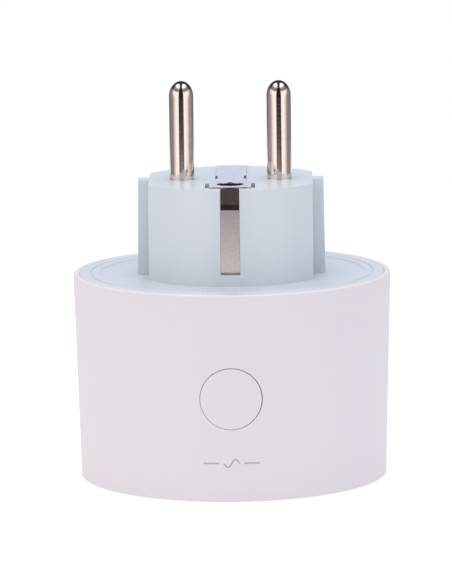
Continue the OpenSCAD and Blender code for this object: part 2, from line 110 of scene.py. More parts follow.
# %% [markdown]
# ## Making a piece
# A piece is a mesh whose object stays at the origin. Bevels are what makes hard plastic and metal
# believable: a real moulding has no perfectly sharp edge, and each small radius catches a thin line of
# light. They are added with a Bevel modifier that leaves gentle curves alone, then frozen into the mesh.

# %% Helpers for meshes
def mesh_object(name, points, faces, material=None):
    mesh = bpy.data.meshes.new(name)
    mesh.from_pydata([tuple(c * MM for c in p) for p in points], [], [tuple(f) for f in faces])
    piece = bpy.data.objects.new(name, mesh)
    bpy.context.scene.collection.objects.link(piece)
    if material:
        mesh.materials.append(material)
    return piece

def outward(piece, merge=1e-7):
    bm = bmesh.new()
    bm.from_mesh(piece.data)
    bmesh.ops.remove_doubles(bm, verts=bm.verts, dist=merge)
    bmesh.ops.recalc_face_normals(bm, faces=bm.faces)
    bm.to_mesh(piece.data)
    bm.free()

def freeze(piece):
    """Turns the modifiers' result into the piece's own plain mesh."""
    bpy.context.view_layer.update()
    shown = piece.evaluated_get(bpy.context.evaluated_depsgraph_get())
    mesh = bpy.data.meshes.new_from_object(shown)
    piece.modifiers.clear()
    old, piece.data = piece.data, mesh
    mesh.name = piece.name
    bpy.data.meshes.remove(old)

def smooth(piece, angle=30):
    piece.data.shade_smooth()
    piece.data.set_sharp_from_angle(angle=math.radians(angle))

def level(piece, angle=35):
    """Smooth shading that keeps big flat faces flat: each corner leans towards its largest face."""
    smooth(piece, angle)
    normals = piece.modifiers.new("weighted_normals", "WEIGHTED_NORMAL")
    normals.keep_sharp = True
    freeze(piece)

def soften(piece, width, angle=32, steps=3):
    """Rounds every edge sharper than the angle."""
    bevel = piece.modifiers.new("edge_radius", "BEVEL")
    bevel.width = width * MM
    bevel.segments = steps
    bevel.limit_method = "ANGLE"
    bevel.angle_limit = math.radians(angle)
    bevel.use_clamp_overlap = True
    bevel.harden_normals = True
    piece.data.shade_smooth()
    freeze(piece)

def carve(piece, *cutters, union=False):
    for cutter in cutters:
        cut = piece.modifiers.new("cut", "BOOLEAN")
        cut.operation = "UNION" if union else "DIFFERENCE"
        cut.solver = "EXACT"
        cut.object = cutter
        freeze(piece)
        bpy.data.objects.remove(cutter)

def prism(outline, z0, z1, name="cutter"):
    """A solid between two heights. The outline may be one list of (x, y), or one list for each height."""
    low, high = outline if isinstance(outline, tuple) else (outline, outline)
    n = len(low)
    points = [(x, y, z0) for x, y in low] + [(x, y, z1) for x, y in high]
    faces = [[i, (i + 1) % n, n + (i + 1) % n, n + i] for i in range(n)]
    piece = mesh_object(name, points, faces + [list(range(n))[::-1], list(range(n, 2 * n))])
    outward(piece)
    return piece

def box(x0, x1, y0, y1, z0, z1):
    return prism([(x0, y0), (x1, y0), (x1, y1), (x0, y1)], z0, z1)

def disc(x, y, r, z0, z1, r1=None, n=96):
    def ring(q):
        return [(x + q * math.cos(2 * math.pi * i / n), y + q * math.sin(2 * math.pi * i / n))
                for i in range(n)]

    return prism((ring(r), ring(r if r1 is None else r1)), z0, z1)

def lathe(name, profile, n=240):
    """Turns a closed list of (radius, height) about the Z axis. Points on the axis become one."""
    m = len(profile)
    points = [(r * math.cos(2 * math.pi * i / n), r * math.sin(2 * math.pi * i / n), z)
              for i in range(n) for r, z in profile]
    faces = []
    for i in range(n):
        for j in range(m):
            a, b = profile[j][0], profile[(j + 1) % m][0]
            if a < 1e-9 and b < 1e-9:
                continue
            k = (i + 1) % n
            faces.append([i * m + j, k * m + j, k * m + (j + 1) % m, i * m + (j + 1) % m])
    piece = mesh_object(name, points, faces)
    bm = bmesh.new()
    bm.from_mesh(piece.data)
    bmesh.ops.remove_doubles(bm, verts=bm.verts, dist=1e-7)
    bmesh.ops.dissolve_degenerate(bm, dist=1e-8, edges=bm.edges)
    bmesh.ops.recalc_face_normals(bm, faces=bm.faces)
    bm.to_mesh(piece.data)
    bm.free()
    return piece

def corner(centre, r, a0, a1, n=5):
    """Points of a rounded corner in a (radius, height) profile, angles in degrees."""
    return [(centre[0] + r * math.cos(math.radians(a0 + (a1 - a0) * i / n)),
             centre[1] + r * math.sin(math.radians(a0 + (a1 - a0) * i / n))) for i in range(n + 1)]

def place(piece, finish, body, slot, *nodes):
    """The last step of every piece: its finish, the body it moves with and the nodes it stands for."""
    piece.data.materials.clear()
    piece.data.materials.append(finish)
    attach(piece, body)
    if nodes:
        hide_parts(*nodes)
    print(piece.name, "has", len(piece.data.polygons), "faces")

# %% [markdown]
# ## Finishes
# A finish is a small set of nodes around one shader. Moulded plastic gets three things: a slow drift of
# colour, a fine spark-eroded grain as bump, and a roughness that is never quite even. Plated metal keeps
# one colour and gets its life from roughness and from the direction of its scratches. All patterns read
# Object coordinates, in metres, so their scale is the real one.

# %% Helpers for materials
def socket(shader, **values):
    for name, value in values.items():
        shader.inputs[name.replace("_", " ")].default_value = value

class Finish:
    """Collects the nodes of one material."""
    def __init__(self, name, colour, roughness, metallic=0.0):
        self.material = bpy.data.materials.new(name)
        self.material.use_nodes = True
        self.tree = self.material.node_tree
        self.shader = self.tree.nodes["Principled BSDF"]
        self.colour = (*colour, 1.0)
        self.roughness = roughness
        socket(self.shader, Base_Color=self.colour, Roughness=roughness, Metallic=metallic)
        self.place = self.tree.nodes.new("ShaderNodeTexCoord").outputs["Object"]
        self.bump = None

    def link(self, a, b):
        self.tree.links.new(a, b)

    def scaled(self, x, y, z):
        mapping = self.tree.nodes.new("ShaderNodeMapping")
        mapping.inputs["Scale"].default_value = (x, y, z)
        self.link(self.place, mapping.inputs["Vector"])
        return mapping.outputs["Vector"]

    def noise(self, size, detail=3.0, stretch=(1, 1, 1), contrast=None):
        """Noise whose blobs are about size millimetres wide, longer where stretch is large."""
        node = self.tree.nodes.new("ShaderNodeTexNoise")
        node.inputs["Scale"].default_value = 1.0
        node.inputs["Detail"].default_value = detail
        self.link(self.scaled(*[1 / (size * MM * s) for s in stretch]), node.inputs["Vector"])
        out = node.outputs["Fac"]
        if contrast:
            spread = self.tree.nodes.new("ShaderNodeMapRange")
            spread.inputs["From Min"].default_value, spread.inputs["From Max"].default_value = contrast
            self.link(out, spread.inputs["Value"])
            out = spread.outputs["Result"]
        return out

    def tint(self, factor, other, amount=1.0):
        """Mixes another colour in where the factor is high."""
        mix = self.tree.nodes.new("ShaderNodeMix")
        mix.data_type = "RGBA"
        mix.inputs["A"].default_value = self.colour
        mix.inputs["B"].default_value = (*other, 1.0)
        base = self.shader.inputs["Base Color"]
        if base.is_linked:
            self.link(base.links[0].from_socket, mix.inputs["A"])
        scale = self.tree.nodes.new("ShaderNodeMath")
        scale.operation = "MULTIPLY"
        scale.inputs[1].default_value = amount
        self.link(factor, scale.inputs[0])
        self.link(scale.outputs[0], mix.inputs["Factor"])
        self.link(mix.outputs["Result"], base)
        return self

    def vary_roughness(self, factor, low, high):
        spread = self.tree.nodes.new("ShaderNodeMapRange")
        spread.inputs["To Min"].default_value = low
        spread.inputs["To Max"].default_value = high
        self.link(factor, spread.inputs["Value"])
        self.link(spread.outputs["Result"], self.shader.inputs["Roughness"])
        return self

    def relief(self, factor, depth, strength=1.0):
        """Bump of a given depth in millimetres. Reliefs stack."""
        bump = self.tree.nodes.new("ShaderNodeBump")
        bump.inputs["Strength"].default_value = strength
        bump.inputs["Distance"].default_value = depth * MM
        self.link(factor, bump.inputs["Height"])
        if self.bump:
            self.link(self.bump, bump.inputs["Normal"])
        self.bump = bump.outputs["Normal"]
        self.link(self.bump, self.shader.inputs["Normal"])
        return self

# %% [markdown]
# ### The outer shell's warm white
# The sleeve and the button are one warm white polycarbonate with a faint pink cast. Tools for such shells
# are spark-eroded, so the skin has a matte grain about a tenth of a millimetre wide that hides finger
# marks.

# %% White shell finish
white = Finish("white_shell", (0.725, 0.675, 0.72), 0.52)
white.tint(white.noise(14, 2, contrast=(0.3, 0.7)), (0.71, 0.665, 0.715), 0.8)
white.tint(white.noise(0.35, 2, contrast=(0.35, 0.65)), (0.68, 0.635, 0.68), 0.12)
white.vary_roughness(white.noise(0.2, 2), 0.46, 0.60)
white.relief(white.noise(0.16, 2), 0.006, 0.6)
socket(white.shader, IOR=1.5, Specular_IOR_Level=0.42)
white_shell = white.material

# %% [markdown]
# ### The plug side's pale grey
# Plate, insert and outlet are a harder, cooler grey with a satin gloss. It shows two soft vertical
# highlights on the round insert, so its roughness sits well below the shell's, with slow flow marks rather
# than grain.

# %% Pale grey finish
grey = Finish("pale_grey", (0.615, 0.655, 0.715), 0.36)
grey.tint(grey.noise(9, 3, stretch=(1, 1, 2.5), contrast=(0.3, 0.7)), (0.60, 0.645, 0.71), 0.8)
grey.tint(grey.noise(0.5, 3, contrast=(0.45, 0.75)), (0.55, 0.59, 0.65), 0.10)
grey.vary_roughness(grey.noise(1.2, 4), 0.30, 0.42)
grey.relief(grey.noise(0.25, 2), 0.003, 0.5)
grey.relief(grey.noise(6, 1, stretch=(1, 1, 3)), 0.05, 0.25)
socket(grey.shader, IOR=1.5, Specular_IOR_Level=0.85)
pale_grey = grey.material

# %% [markdown]
# ### Nickel
# The pins are turned brass under bright nickel. Turning leaves fine rings, so their scratches run round the
# pin: the noise is squeezed along Z. The earth strap is rolled and tumbled strip, softer and mottled.
# Inside its eye sits a collar of dark nickel: painted shade, darker than the strip, so that the narrow hole
# looks shadowed.

# %% Nickel finishes
turned = Finish("turned_nickel", (0.76, 0.69, 0.655), 0.10, metallic=1.0)
turned.vary_roughness(turned.noise(0.25, 4, stretch=(8, 8, 1)), 0.06, 0.15)
turned.relief(turned.noise(0.12, 3, stretch=(30, 30, 1)), 0.0015, 0.5)
turned.relief(turned.noise(0.8, 4), 0.006, 0.15)
turned.tint(turned.noise(1.5, 4, contrast=(0.5, 0.75)), (0.62, 0.54, 0.50), 0.35)
turned_nickel = turned.material

strip = Finish("strip_nickel", (0.80, 0.705, 0.685), 0.18, metallic=1.0)
strip.vary_roughness(strip.noise(0.7, 5), 0.10, 0.20)
strip.relief(strip.noise(0.45, 4), 0.006, 0.3)
strip.tint(strip.noise(0.6, 4, contrast=(0.45, 0.7)), (0.70, 0.60, 0.58), 0.45)
strip_nickel = strip.material

# painted shade: a darkened nickel for the collar in the eye, standing in for the shade down the hole
bore_shade = Finish("dull_nickel", (0.42, 0.36, 0.33), 0.30, metallic=1.0)
bore_shade.vary_roughness(bore_shade.noise(0.5, 4), 0.22, 0.38)
bore_shade.relief(bore_shade.noise(0.3, 3), 0.004, 0.4)
dull_nickel = bore_shade.material

# %% [markdown]
# ### Finishes of the inside
# The inside is sealed, but a part that is opened or cut should still look like one. Each finish gets its
# own mark: copper tracks under green mask, a fine grain on the ferrite, shrunk sleeve on the cans.

# %% Inside finishes
def plain_finish(name, colour, roughness, metallic=0.0, grain=0.4, depth=0.004, other=None, coat=0.0):
    f = Finish(name, colour, roughness, metallic)
    other = other or tuple(c * 0.8 for c in colour)
    f.tint(f.noise(3.0, 4, contrast=(0.35, 0.7)), other, 0.6)
    f.vary_roughness(f.noise(grain * 2, 3), max(roughness - 0.08, 0.05), min(roughness + 0.10, 1.0))
    f.relief(f.noise(grain, 3), depth, 0.6)
    socket(f.shader, Coat_Weight=coat)
    return f

bronze = plain_finish("bronze_strip", (0.66, 0.42, 0.22), 0.30, 1.0, grain=0.3)
gold = plain_finish("gold_flash", (0.83, 0.62, 0.28), 0.22, 1.0, grain=0.2)
nylon = plain_finish("glass_nylon", (0.032, 0.035, 0.038), 0.50, grain=0.25, depth=0.01,
                     other=(0.05, 0.052, 0.055))
spring = plain_finish("spring_wire", (0.42, 0.43, 0.45), 0.25, 1.0, grain=0.2)
zinc = plain_finish("zinc_plate", (0.62, 0.63, 0.67), 0.30, 1.0, grain=0.3, other=(0.55, 0.55, 0.45))
tinned = plain_finish("tinned_sheet", (0.66, 0.66, 0.66), 0.28, 1.0, grain=0.5)
relay_black = plain_finish("relay_case", (0.018, 0.019, 0.022), 0.28, grain=0.3, other=(0.03, 0.03, 0.034))
can_blue = plain_finish("can_sleeve", (0.02, 0.025, 0.10), 0.22, grain=0.8, coat=0.3)
yellow = plain_finish("yellow_case", (0.72, 0.50, 0.05), 0.35, grain=0.5)
dipped = plain_finish("dipped_blue", (0.02, 0.11, 0.40), 0.25, grain=1.2, depth=0.03, coat=0.4)
tube = plain_finish("glazed_tube", (0.62, 0.58, 0.48), 0.25, grain=0.6, coat=0.4)
ferrite = plain_finish("ferrite", (0.025, 0.025, 0.028), 0.6, grain=0.2, depth=0.01,
                       other=(0.04, 0.04, 0.045))
epoxy = plain_finish("chip_epoxy", (0.012, 0.012, 0.014), 0.55, grain=0.15, depth=0.006,
                     other=(0.02, 0.02, 0.022))
acetal = plain_finish("acetal", (0.55, 0.53, 0.48), 0.38, grain=0.3)
lens = plain_finish("led_lens", (0.85, 0.85, 0.72), 0.12, grain=0.6, coat=0.5)

def board_finish(name, mask, track):
    """Solder mask over copper: straight runs along the mortar of one brick pattern, with darker patches of
    mask.
    """
    f = Finish(name, mask, 0.28)
    bricks = f.tree.nodes.new("ShaderNodeTexBrick")
    bricks.inputs["Scale"].default_value = 1.0
    bricks.inputs["Mortar Size"].default_value = 0.09
    bricks.inputs["Color1"].default_value = (0, 0, 0, 1)
    bricks.inputs["Color2"].default_value = (0, 0, 0, 1)
    bricks.inputs["Mortar"].default_value = (1, 1, 1, 1)
    f.link(f.scaled(260, 260, 260), bricks.inputs["Vector"])
    f.tint(bricks.outputs["Color"], track, 0.9)
    f.tint(f.noise(1.4, 2, contrast=(0.5, 0.6)), tuple(c * 0.8 for c in mask), 0.5)
    f.vary_roughness(f.noise(0.4, 3), 0.22, 0.36)
    f.relief(bricks.outputs["Color"], 0.035, 0.6)
    return f

green_board = board_finish("green_mask", (0.006, 0.055, 0.026), (0.02, 0.13, 0.06))
blue_board = board_finish("blue_mask", (0.006, 0.02, 0.08), (0.02, 0.06, 0.18))

# %% [markdown]
# ## The sleeve
# The sleeve is one tapered tube with a round hole in its front. Cutting the hole with a Boolean leaves long
# thin faces, and those show as smudges on a smooth white skin. So the skin is a grid instead, and around
# the hole the grid is exchanged for rings that grow from a circle to the square of grid points round it.
# Every point of both lies exactly on the taper, so the light runs over the hole's surroundings without a
# ripple.

# %% A grid with a round hole
COLUMNS = 320
HALF = 16
HOLE_R = BUTTON_R + 0.10
HOLE_ROWS = np.linspace(BUTTON_Z - 9.3, BUTTON_Z + 9.3, 2 * HALF + 1)

def column_angle(i):
    return 2 * math.pi * i / COLUMNS

def wrap(r, i, z):
    a = column_angle(i)
    return (r * math.sin(a), -r * math.cos(a), z)

def patch_border():
    """Grid places (column, row) once round the square that the rings replace."""
    h, top = HALF, 2 * HALF
    return ([(i, 0) for i in range(-h, h)] + [(h, j) for j in range(0, top)]
            + [(i, top) for i in range(h, -h, -1)] + [(-h, j) for j in range(top, 0, -1)])

# %% The sleeve's profile
def inner_r(z):
    return 27.9 + (29.1 - 27.9) * (z - 1.2) / (38.4 - 1.2)

def outer_profile():
    foot = corner((skin_r(0.12) - 0.12, 0.12), 0.12, -90, 0, 5)
    low = [(skin_r(z), z) for z in np.linspace(1.2, HOLE_ROWS[0], 14)[:-1]]
    mid = [(skin_r(z), z) for z in HOLE_ROWS]
    high = [(skin_r(z), z) for z in np.linspace(HOLE_ROWS[-1], RIM_Z - 0.4, 16)[1:]]
    rim = corner((skin_r(RIM_Z) - 0.35, RIM_Z - 0.35), 0.35, 8, 90, 5)
    return foot + low, mid, high + rim

def inner_profile():
    lip = [(29.86, RIM_Z - 0.08), (29.82, RIM_Z - 0.2), (29.82, 38.4), (29.1, 38.4)]
    high = [(inner_r(z), z) for z in np.linspace(38.2, HOLE_ROWS[-1], 6)[:-1]]
    mid = [(inner_r(z), z) for z in HOLE_ROWS[::-1]]
    low = [(inner_r(z), z) for z in np.linspace(HOLE_ROWS[0], 1.2, 6)[1:]]
    return [(29.94, RIM_Z)] + lip + high, mid, low + [(27.3, 1.2), (27.3, 0.2), (27.5, 0.0)]

# %% Build the sleeve
def build_sleeve():
    a, b, c = outer_profile()
    d, e, f = inner_profile()
    profile = a + b + c + d + e + f
    rows = len(profile)
    first_out, first_in = len(a), len(a) + len(b) + len(c) + len(d)
    points = [wrap(r, i, z) for i in range(COLUMNS) for r, z in profile]
    at = lambda i, j: (i % COLUMNS) * rows + j
    faces = []
    for i in range(COLUMNS):
        in_patch = -HALF <= (i if i < COLUMNS / 2 else i - COLUMNS) < HALF
        for j in range(rows):
            if in_patch and (first_out <= j < first_out + 2 * HALF or first_in <= j < first_in + 2 * HALF):
                continue
            k = (j + 1) % rows
            faces.append((at(i, j), at(i + 1, j), at(i + 1, k), at(i, k)))

    def rings(row_of, radius_of, steps):
        """Rings from the border to the hole. steps are (share of the way out, hole radius, inset)."""
        border = [at(i, row_of(j)) for i, j in patch_border()]
        last, loops = border, []
        for share, hole, inset in steps:
            loop = []
            for v in border:
                x, _, z = points[v]
                away = math.atan2(z - BUTTON_Z, x)
                hx, hz = hole * math.cos(away), BUTTON_Z + hole * math.sin(away)
                px, pz = hx + (x - hx) * share, hz + (z - hz) * share
                r = radius_of(pz) - inset
                loop.append(len(points))
                points.append((px, -math.sqrt(r * r - px * px), pz))
            for k in range(len(border)):
                n = (k + 1) % len(border)
                faces.append((last[k], last[n], loop[n], loop[k]))
            last = loop
        return last

    edge = 0.08
    out = [(1 - (k / 7) ** 0.8, HOLE_R + edge, 0) for k in range(1, 8)]
    out += [(0, HOLE_R + edge * (1 - math.sin(t)), edge * (1 - math.cos(t)))
            for t in np.radians([25, 50, 70, 90])]
    mouth = rings(lambda j: first_out + j, skin_r, out)
    back = rings(lambda j: first_in + 2 * HALF - j, inner_r, [(0.5, HOLE_R, 0), (0, HOLE_R, 0)])
    for k in range(len(mouth)):
        n = (k + 1) % len(mouth)
        faces.append((mouth[k], mouth[n], back[n], back[k]))
    piece = mesh_object("sleeve_shell", points, faces)
    outward(piece)
    smooth(piece, 40)
    return piece

sleeve = build_sleeve()
place(sleeve, white_shell, "chassis", "white_shell", "outer_sleeve")

# %% [markdown]
# ## The button
# The cap is a plug of the same skin: its front follows the sleeve's taper, so that when it isn't pressed
# the light crosses it unbroken and only the thin gap draws a circle. It is made as rings about its own
# middle, each point pushed onto the skin, with a small edge radius, a flange that stops behind the wall and
# a stem for the switch. A loose cap never sits quite central, so its front has a few hundredths of a
# millimetre of play to one side.

# %% Build the button
def build_button(n=128):
    edge, play = 0.10, 0.03
    front = [(r, 0.03) for r in (0.0, 1.2, 2.4, 3.6, 4.6, 5.4)]
    front += [(BUTTON_R - edge * (1 - math.sin(t)), 0.03 + edge * (1 - math.cos(t)))
              for t in np.radians([0, 30, 60, 90])]
    back_y, stem_y = -27.35, cap_high[1]
    solid = [(BUTTON_R, back_y), (BUTTON_R + 0.85, back_y), (BUTTON_R + 1.0, back_y + 0.15),
             (BUTTON_R + 1.0, back_y + 0.85), (BUTTON_R + 0.85, back_y + 1.0), (2.3, back_y + 1.0),
             (2.0, back_y + 1.05), (2.0, stem_y - 0.08), (1.9, stem_y), (0.0, stem_y)]
    points, faces, loops = [], [], []
    for r, inset in front:
        loops.append([len(points) + k for k in range(n)])
        points += [on_skin(r * math.cos(2 * math.pi * k / n) - play,
                           BUTTON_Z + r * math.sin(2 * math.pi * k / n) - play, inset) for k in range(n)]
    for r, y in solid:
        loops.append([len(points) + k for k in range(n)])
        points += [(r * math.cos(2 * math.pi * k / n), y, BUTTON_Z + r * math.sin(2 * math.pi * k / n))
                   for k in range(n)]
    for p, q in zip(loops, loops[1:]):
        faces += [(p[k], p[(k + 1) % n], q[(k + 1) % n], q[k]) for k in range(n)]
    piece = mesh_object("button_disc", points, faces)
    bm = bmesh.new()
    bm.from_mesh(piece.data)
    bmesh.ops.remove_doubles(bm, verts=bm.verts, dist=1e-7)
    bmesh.ops.dissolve_degenerate(bm, dist=1e-8, edges=bm.edges)
    bmesh.ops.recalc_face_normals(bm, faces=bm.faces)
    bm.to_mesh(piece.data)
    bm.free()
    smooth(piece, 40)
    return piece

place(build_button(), white_shell, "button", "white_shell", "button_cap")

# %% [markdown]
# ## The printed mark
# A pale grey pad print sits under the button. It holds no lettering: a short rule, one wave and a short
# rule, the usual sign for mains. Ink is a film, so the mark is a ribbon two hundredths of a millimetre
# thick, laid on the taper.

# %% Ink and ribbon
ink = Finish("grey_ink", (0.42, 0.37, 0.40), 0.55)
ink.tint(ink.noise(0.3, 3, contrast=(0.4, 0.7)), (0.52, 0.47, 0.50), 0.5)
ink.relief(ink.noise(0.1, 2), 0.002, 0.4)

def ribbon(name, path, width, finish, lift=0.012):
    """A flat strip on the front skin along (x, z) points. Its face stays within the frame's box."""
    path = np.array(path)
    run = np.gradient(path, axis=0)
    run /= np.linalg.norm(run, axis=1)[:, None]
    side = np.stack([-run[:, 1], run[:, 0]], axis=1) * width / 2
    points, faces, n = [], [], len(path)
    for inset in (-lift, 0.05):
        for s in (-1, 1):
            points += [on_skin(x, z, inset) for x, z in path + s * side]
    for k in range(n - 1):
        a, b, c, d = k, n + k, 2 * n + k, 3 * n + k
        faces += [(a, a + 1, b + 1, b), (c, d, d + 1, c + 1), (a, c, c + 1, a + 1), (b, b + 1, d + 1, d)]
    faces += [(0, n, 3 * n, 2 * n), (n - 1, 3 * n - 1, 4 * n - 1, 2 * n - 1)]
    piece = mesh_object(name, points, faces)
    outward(piece)
    smooth(piece, 40)
    return piece

MARK_Z = 7.5
wave = [(x, MARK_Z + 0.75 * math.sin(math.pi * x / 1.5)) for x in np.linspace(-1.5, 1.5, 41)]
rules = [[(s * 1 + x, MARK_Z) for x in np.linspace(0, 3.0, 12)] for s in (-5.4, 2.4)]
for name, path in (("print_wave", wave), ("print_rule_left", rules[0]), ("print_rule_right", rules[1])):
    place(ribbon(name, path, 0.30, ink.material), ink.material, "chassis", "white_shell")

# %% [markdown]
# ## The base plate
# A disc in the mouth of the sleeve. Its face has a raised outer band, one fine groove and a step down to a
# slightly sunk middle, all of them turned shapes, so one closed profile turned about the axis makes it.

# %% Build the base plate
def build_plate():
    z, low = RIM_Z, RIM_Z - 1.6
    edge = corner((PLATE_R - 0.1, z - 0.12), 0.1, 0, 90, 3)
    groove = [(27.93, z - 0.02), (27.80, z - 0.07), (27.72, z - 0.20), (27.55, z - 0.20), (27.47, z - 0.07),
              (27.34, z - 0.02)]
    step = [(26.05, z - 0.02), (25.93, z - 0.07), (25.84, z - 0.20), (25.72, z - 0.25), (22.0, z - 0.25)]
    profile = [(0, low), (PLATE_R, low), (PLATE_R, z - 0.12), *edge, *groove, *step, (0, z - 0.25)]
    piece = lathe("base_plate", profile, 256)
    smooth(piece, 35)
    return piece

base_plate = build_plate()

# %% [markdown]
# ## The insert
# The round insert has two flats with a guide rib in the middle of each, a groove down its front and back
# for the earth strip, and a bed in its face. Its outline is drawn twice, a little larger at the foot for
# the one degree of draft a mould needs, and the grooves are cut afterwards. A bevel with hardened normals
# then rounds all edges but leaves the drafted wall smooth.

# %% The outline with flats and ribs
def insert_outline(r, flat, rib_half):
    rise = math.sqrt(r * r - flat * flat)
    start, side = math.atan2(rise, flat), math.asin(rib_half / r)
    arc = lambda t0, t1, n: [(r * math.cos(t), r * math.sin(t)) for t in np.linspace(t0, t1, n)]
    half = [(flat, -rib_half)] + arc(-side, side, 7) + [(flat, rib_half)] + arc(start, math.pi - start, 61)
    return half + [(-x, -y) for x, y in half]

# %% Build the insert
FOOT_Z = RIM_Z - 0.25
EYE_Y = -10.0
strap_high = low_high("earth_strap")[1]
STRAP_T = 0.6
STRAP_TOP, STRAP_OUT = strap_high[2], strap_high[1]
KNEE_Z = FACE_Z - 3.0
LEAN_Y = 14.75

def strap_room(gap=0.03):
    """Cutters for the strap's bed, its side grooves, the slots by its head and the pits by its notches."""
    bed, wall = STRAP_TOP - STRAP_T, STRAP_OUT - STRAP_T - 0.05
    room = [box(-3 - gap, 3 + gap, EYE_Y, 20, bed, FACE_Z + 1),
            box(-4.1, 4.1, -LEAN_Y, -7.4, bed, FACE_Z + 1)]
    room += [box(-3 - gap, 3 + gap, wall, 20, RIM_Z + 1.95, FACE_Z + 1)]
    room += [box(-1.85 - gap, 1.85 + gap, -20, -wall, RIM_Z + 1.95, FACE_Z + 1)]
    lean = prism([(bed, 0.4 - LEAN_Y), (KNEE_Z - 0.2, -wall), (KNEE_Z - 0.2, -20), (FACE_Z + 1, -20),
                  (FACE_Z + 1, 0.4 - LEAN_Y)], -1.85 - gap, 1.85 + gap)
    lean.data.transform(Matrix(((0, 0, 1, 0), (0, 1, 0, 0), (1, 0, 0, 0), (0, 0, 0, 1))))
    outward(lean)
    room.append(lean)
    for s in (-1, 1):
        a, b, c, d = sorted((s * 3.45, s * 4.85)) + sorted((s * 2.5, s * 3.05))
        room += [box(a, b, -13.8, -7.4, FACE_Z - 1.9, FACE_Z + 1),
                 box(c, d, -2, 2, FACE_Z - 1.9, FACE_Z + 1)]
    return room

def build_insert():
    outside = (insert_outline(18.42, 15.95, 2.2), insert_outline(18.15, 15.95, 2.2))
    piece = prism(outside, FOOT_Z - 0.02, FACE_Z, "plug_insert")
    hollow = disc(0, 0, 16.3, FOOT_Z - 1, FACE_Z - 2.3, n=120)
    carve(hollow, box(14.1, 20, -20, 20, 30, 60), box(-20, -14.1, -20, 20, 30, 60))
    carve(piece, hollow)
    backing = [box(-4.6, 4.6, -17.2, -14.2, FACE_Z - 6.3, FACE_Z - 1),
               box(-4.6, 4.6, 15.2, 17.2, FOOT_Z, FACE_Z - 1),
               box(-4.6, 4.6, -17.2, -15.2, FOOT_Z, FACE_Z - 5),
               disc(0, EYE_Y, 3.9, FACE_Z - 15.5, FACE_Z - 1)]
    carve(piece, *backing, union=True)
    eye = [disc(0, EYE_Y, 2.87, FACE_Z - 7.1, FACE_Z + 1), disc(0, EYE_Y, 2.6, FACE_Z - 14.5, FACE_Z)]
    pins = [disc(s * PIN_X, 0, 2.62, FACE_Z - 4, FACE_Z + 1, n=64) for s in (-1, 1)]
    carve(piece, *strap_room(), *eye, *pins)
    outward(piece)
    soften(piece, 0.14, 30, 3)
    return piece

insert = build_insert()

# %% [markdown]
# The node of the frame is one moulding: plate, insert and the pillars behind them. Plate and insert are
# made apart, because one is turned and the other drawn, and then the two stand for the node together. The
# pillars for the screws are added as turned pieces too, so that nothing is missing when the sleeve is taken
# off.

# %% Pillars behind the plate
pillar_angles = (55, 125, 215, 325)
def build_pillars():
    z0 = base_low[2]
    parts = []
    for a in pillar_angles:
        x, y = 22 * math.cos(math.radians(a)), 22 * math.sin(math.radians(a))
        post = disc(x, y, 2.8, z0, RIM_Z - 1.6, n=48)
        carve(post, disc(x, y, 1.25, z0 - 1, z0 + 10, n=48))
        soften(post, 0.15)
        parts.append(post)
    return parts

def joined(name, parts):
    """One piece from several, with their meshes put together."""
    bm = bmesh.new()
    for part in parts:
        bm.from_mesh(part.data)
    mesh = bpy.data.meshes.new(name)
    bm.to_mesh(mesh)
    bm.free()
    for part in parts:
        bpy.data.objects.remove(part)
    piece = bpy.data.objects.new(name, mesh)
    bpy.context.scene.collection.objects.link(piece)
    level(piece)
    return piece

place(base_plate, pale_grey, "chassis", "grey_shell", "plug_base")
place(insert, pale_grey, "chassis", "grey_shell", "plug_base")
place(joined("screw_pillars", build_pillars()), pale_grey, "chassis", "grey_shell", "plug_base")

# %% [markdown]
# ## Geometry Nodes: one helper for all trees
# Several things here follow a rule: a pin is turned, a strip is bent along a path, a coil is wound, and
# moulding marks repeat along an arc. Each gets a node tree with named inputs. The helper makes the group,
# gives values to the modifier by the sockets' identifiers, and freezes the result into a plain mesh.

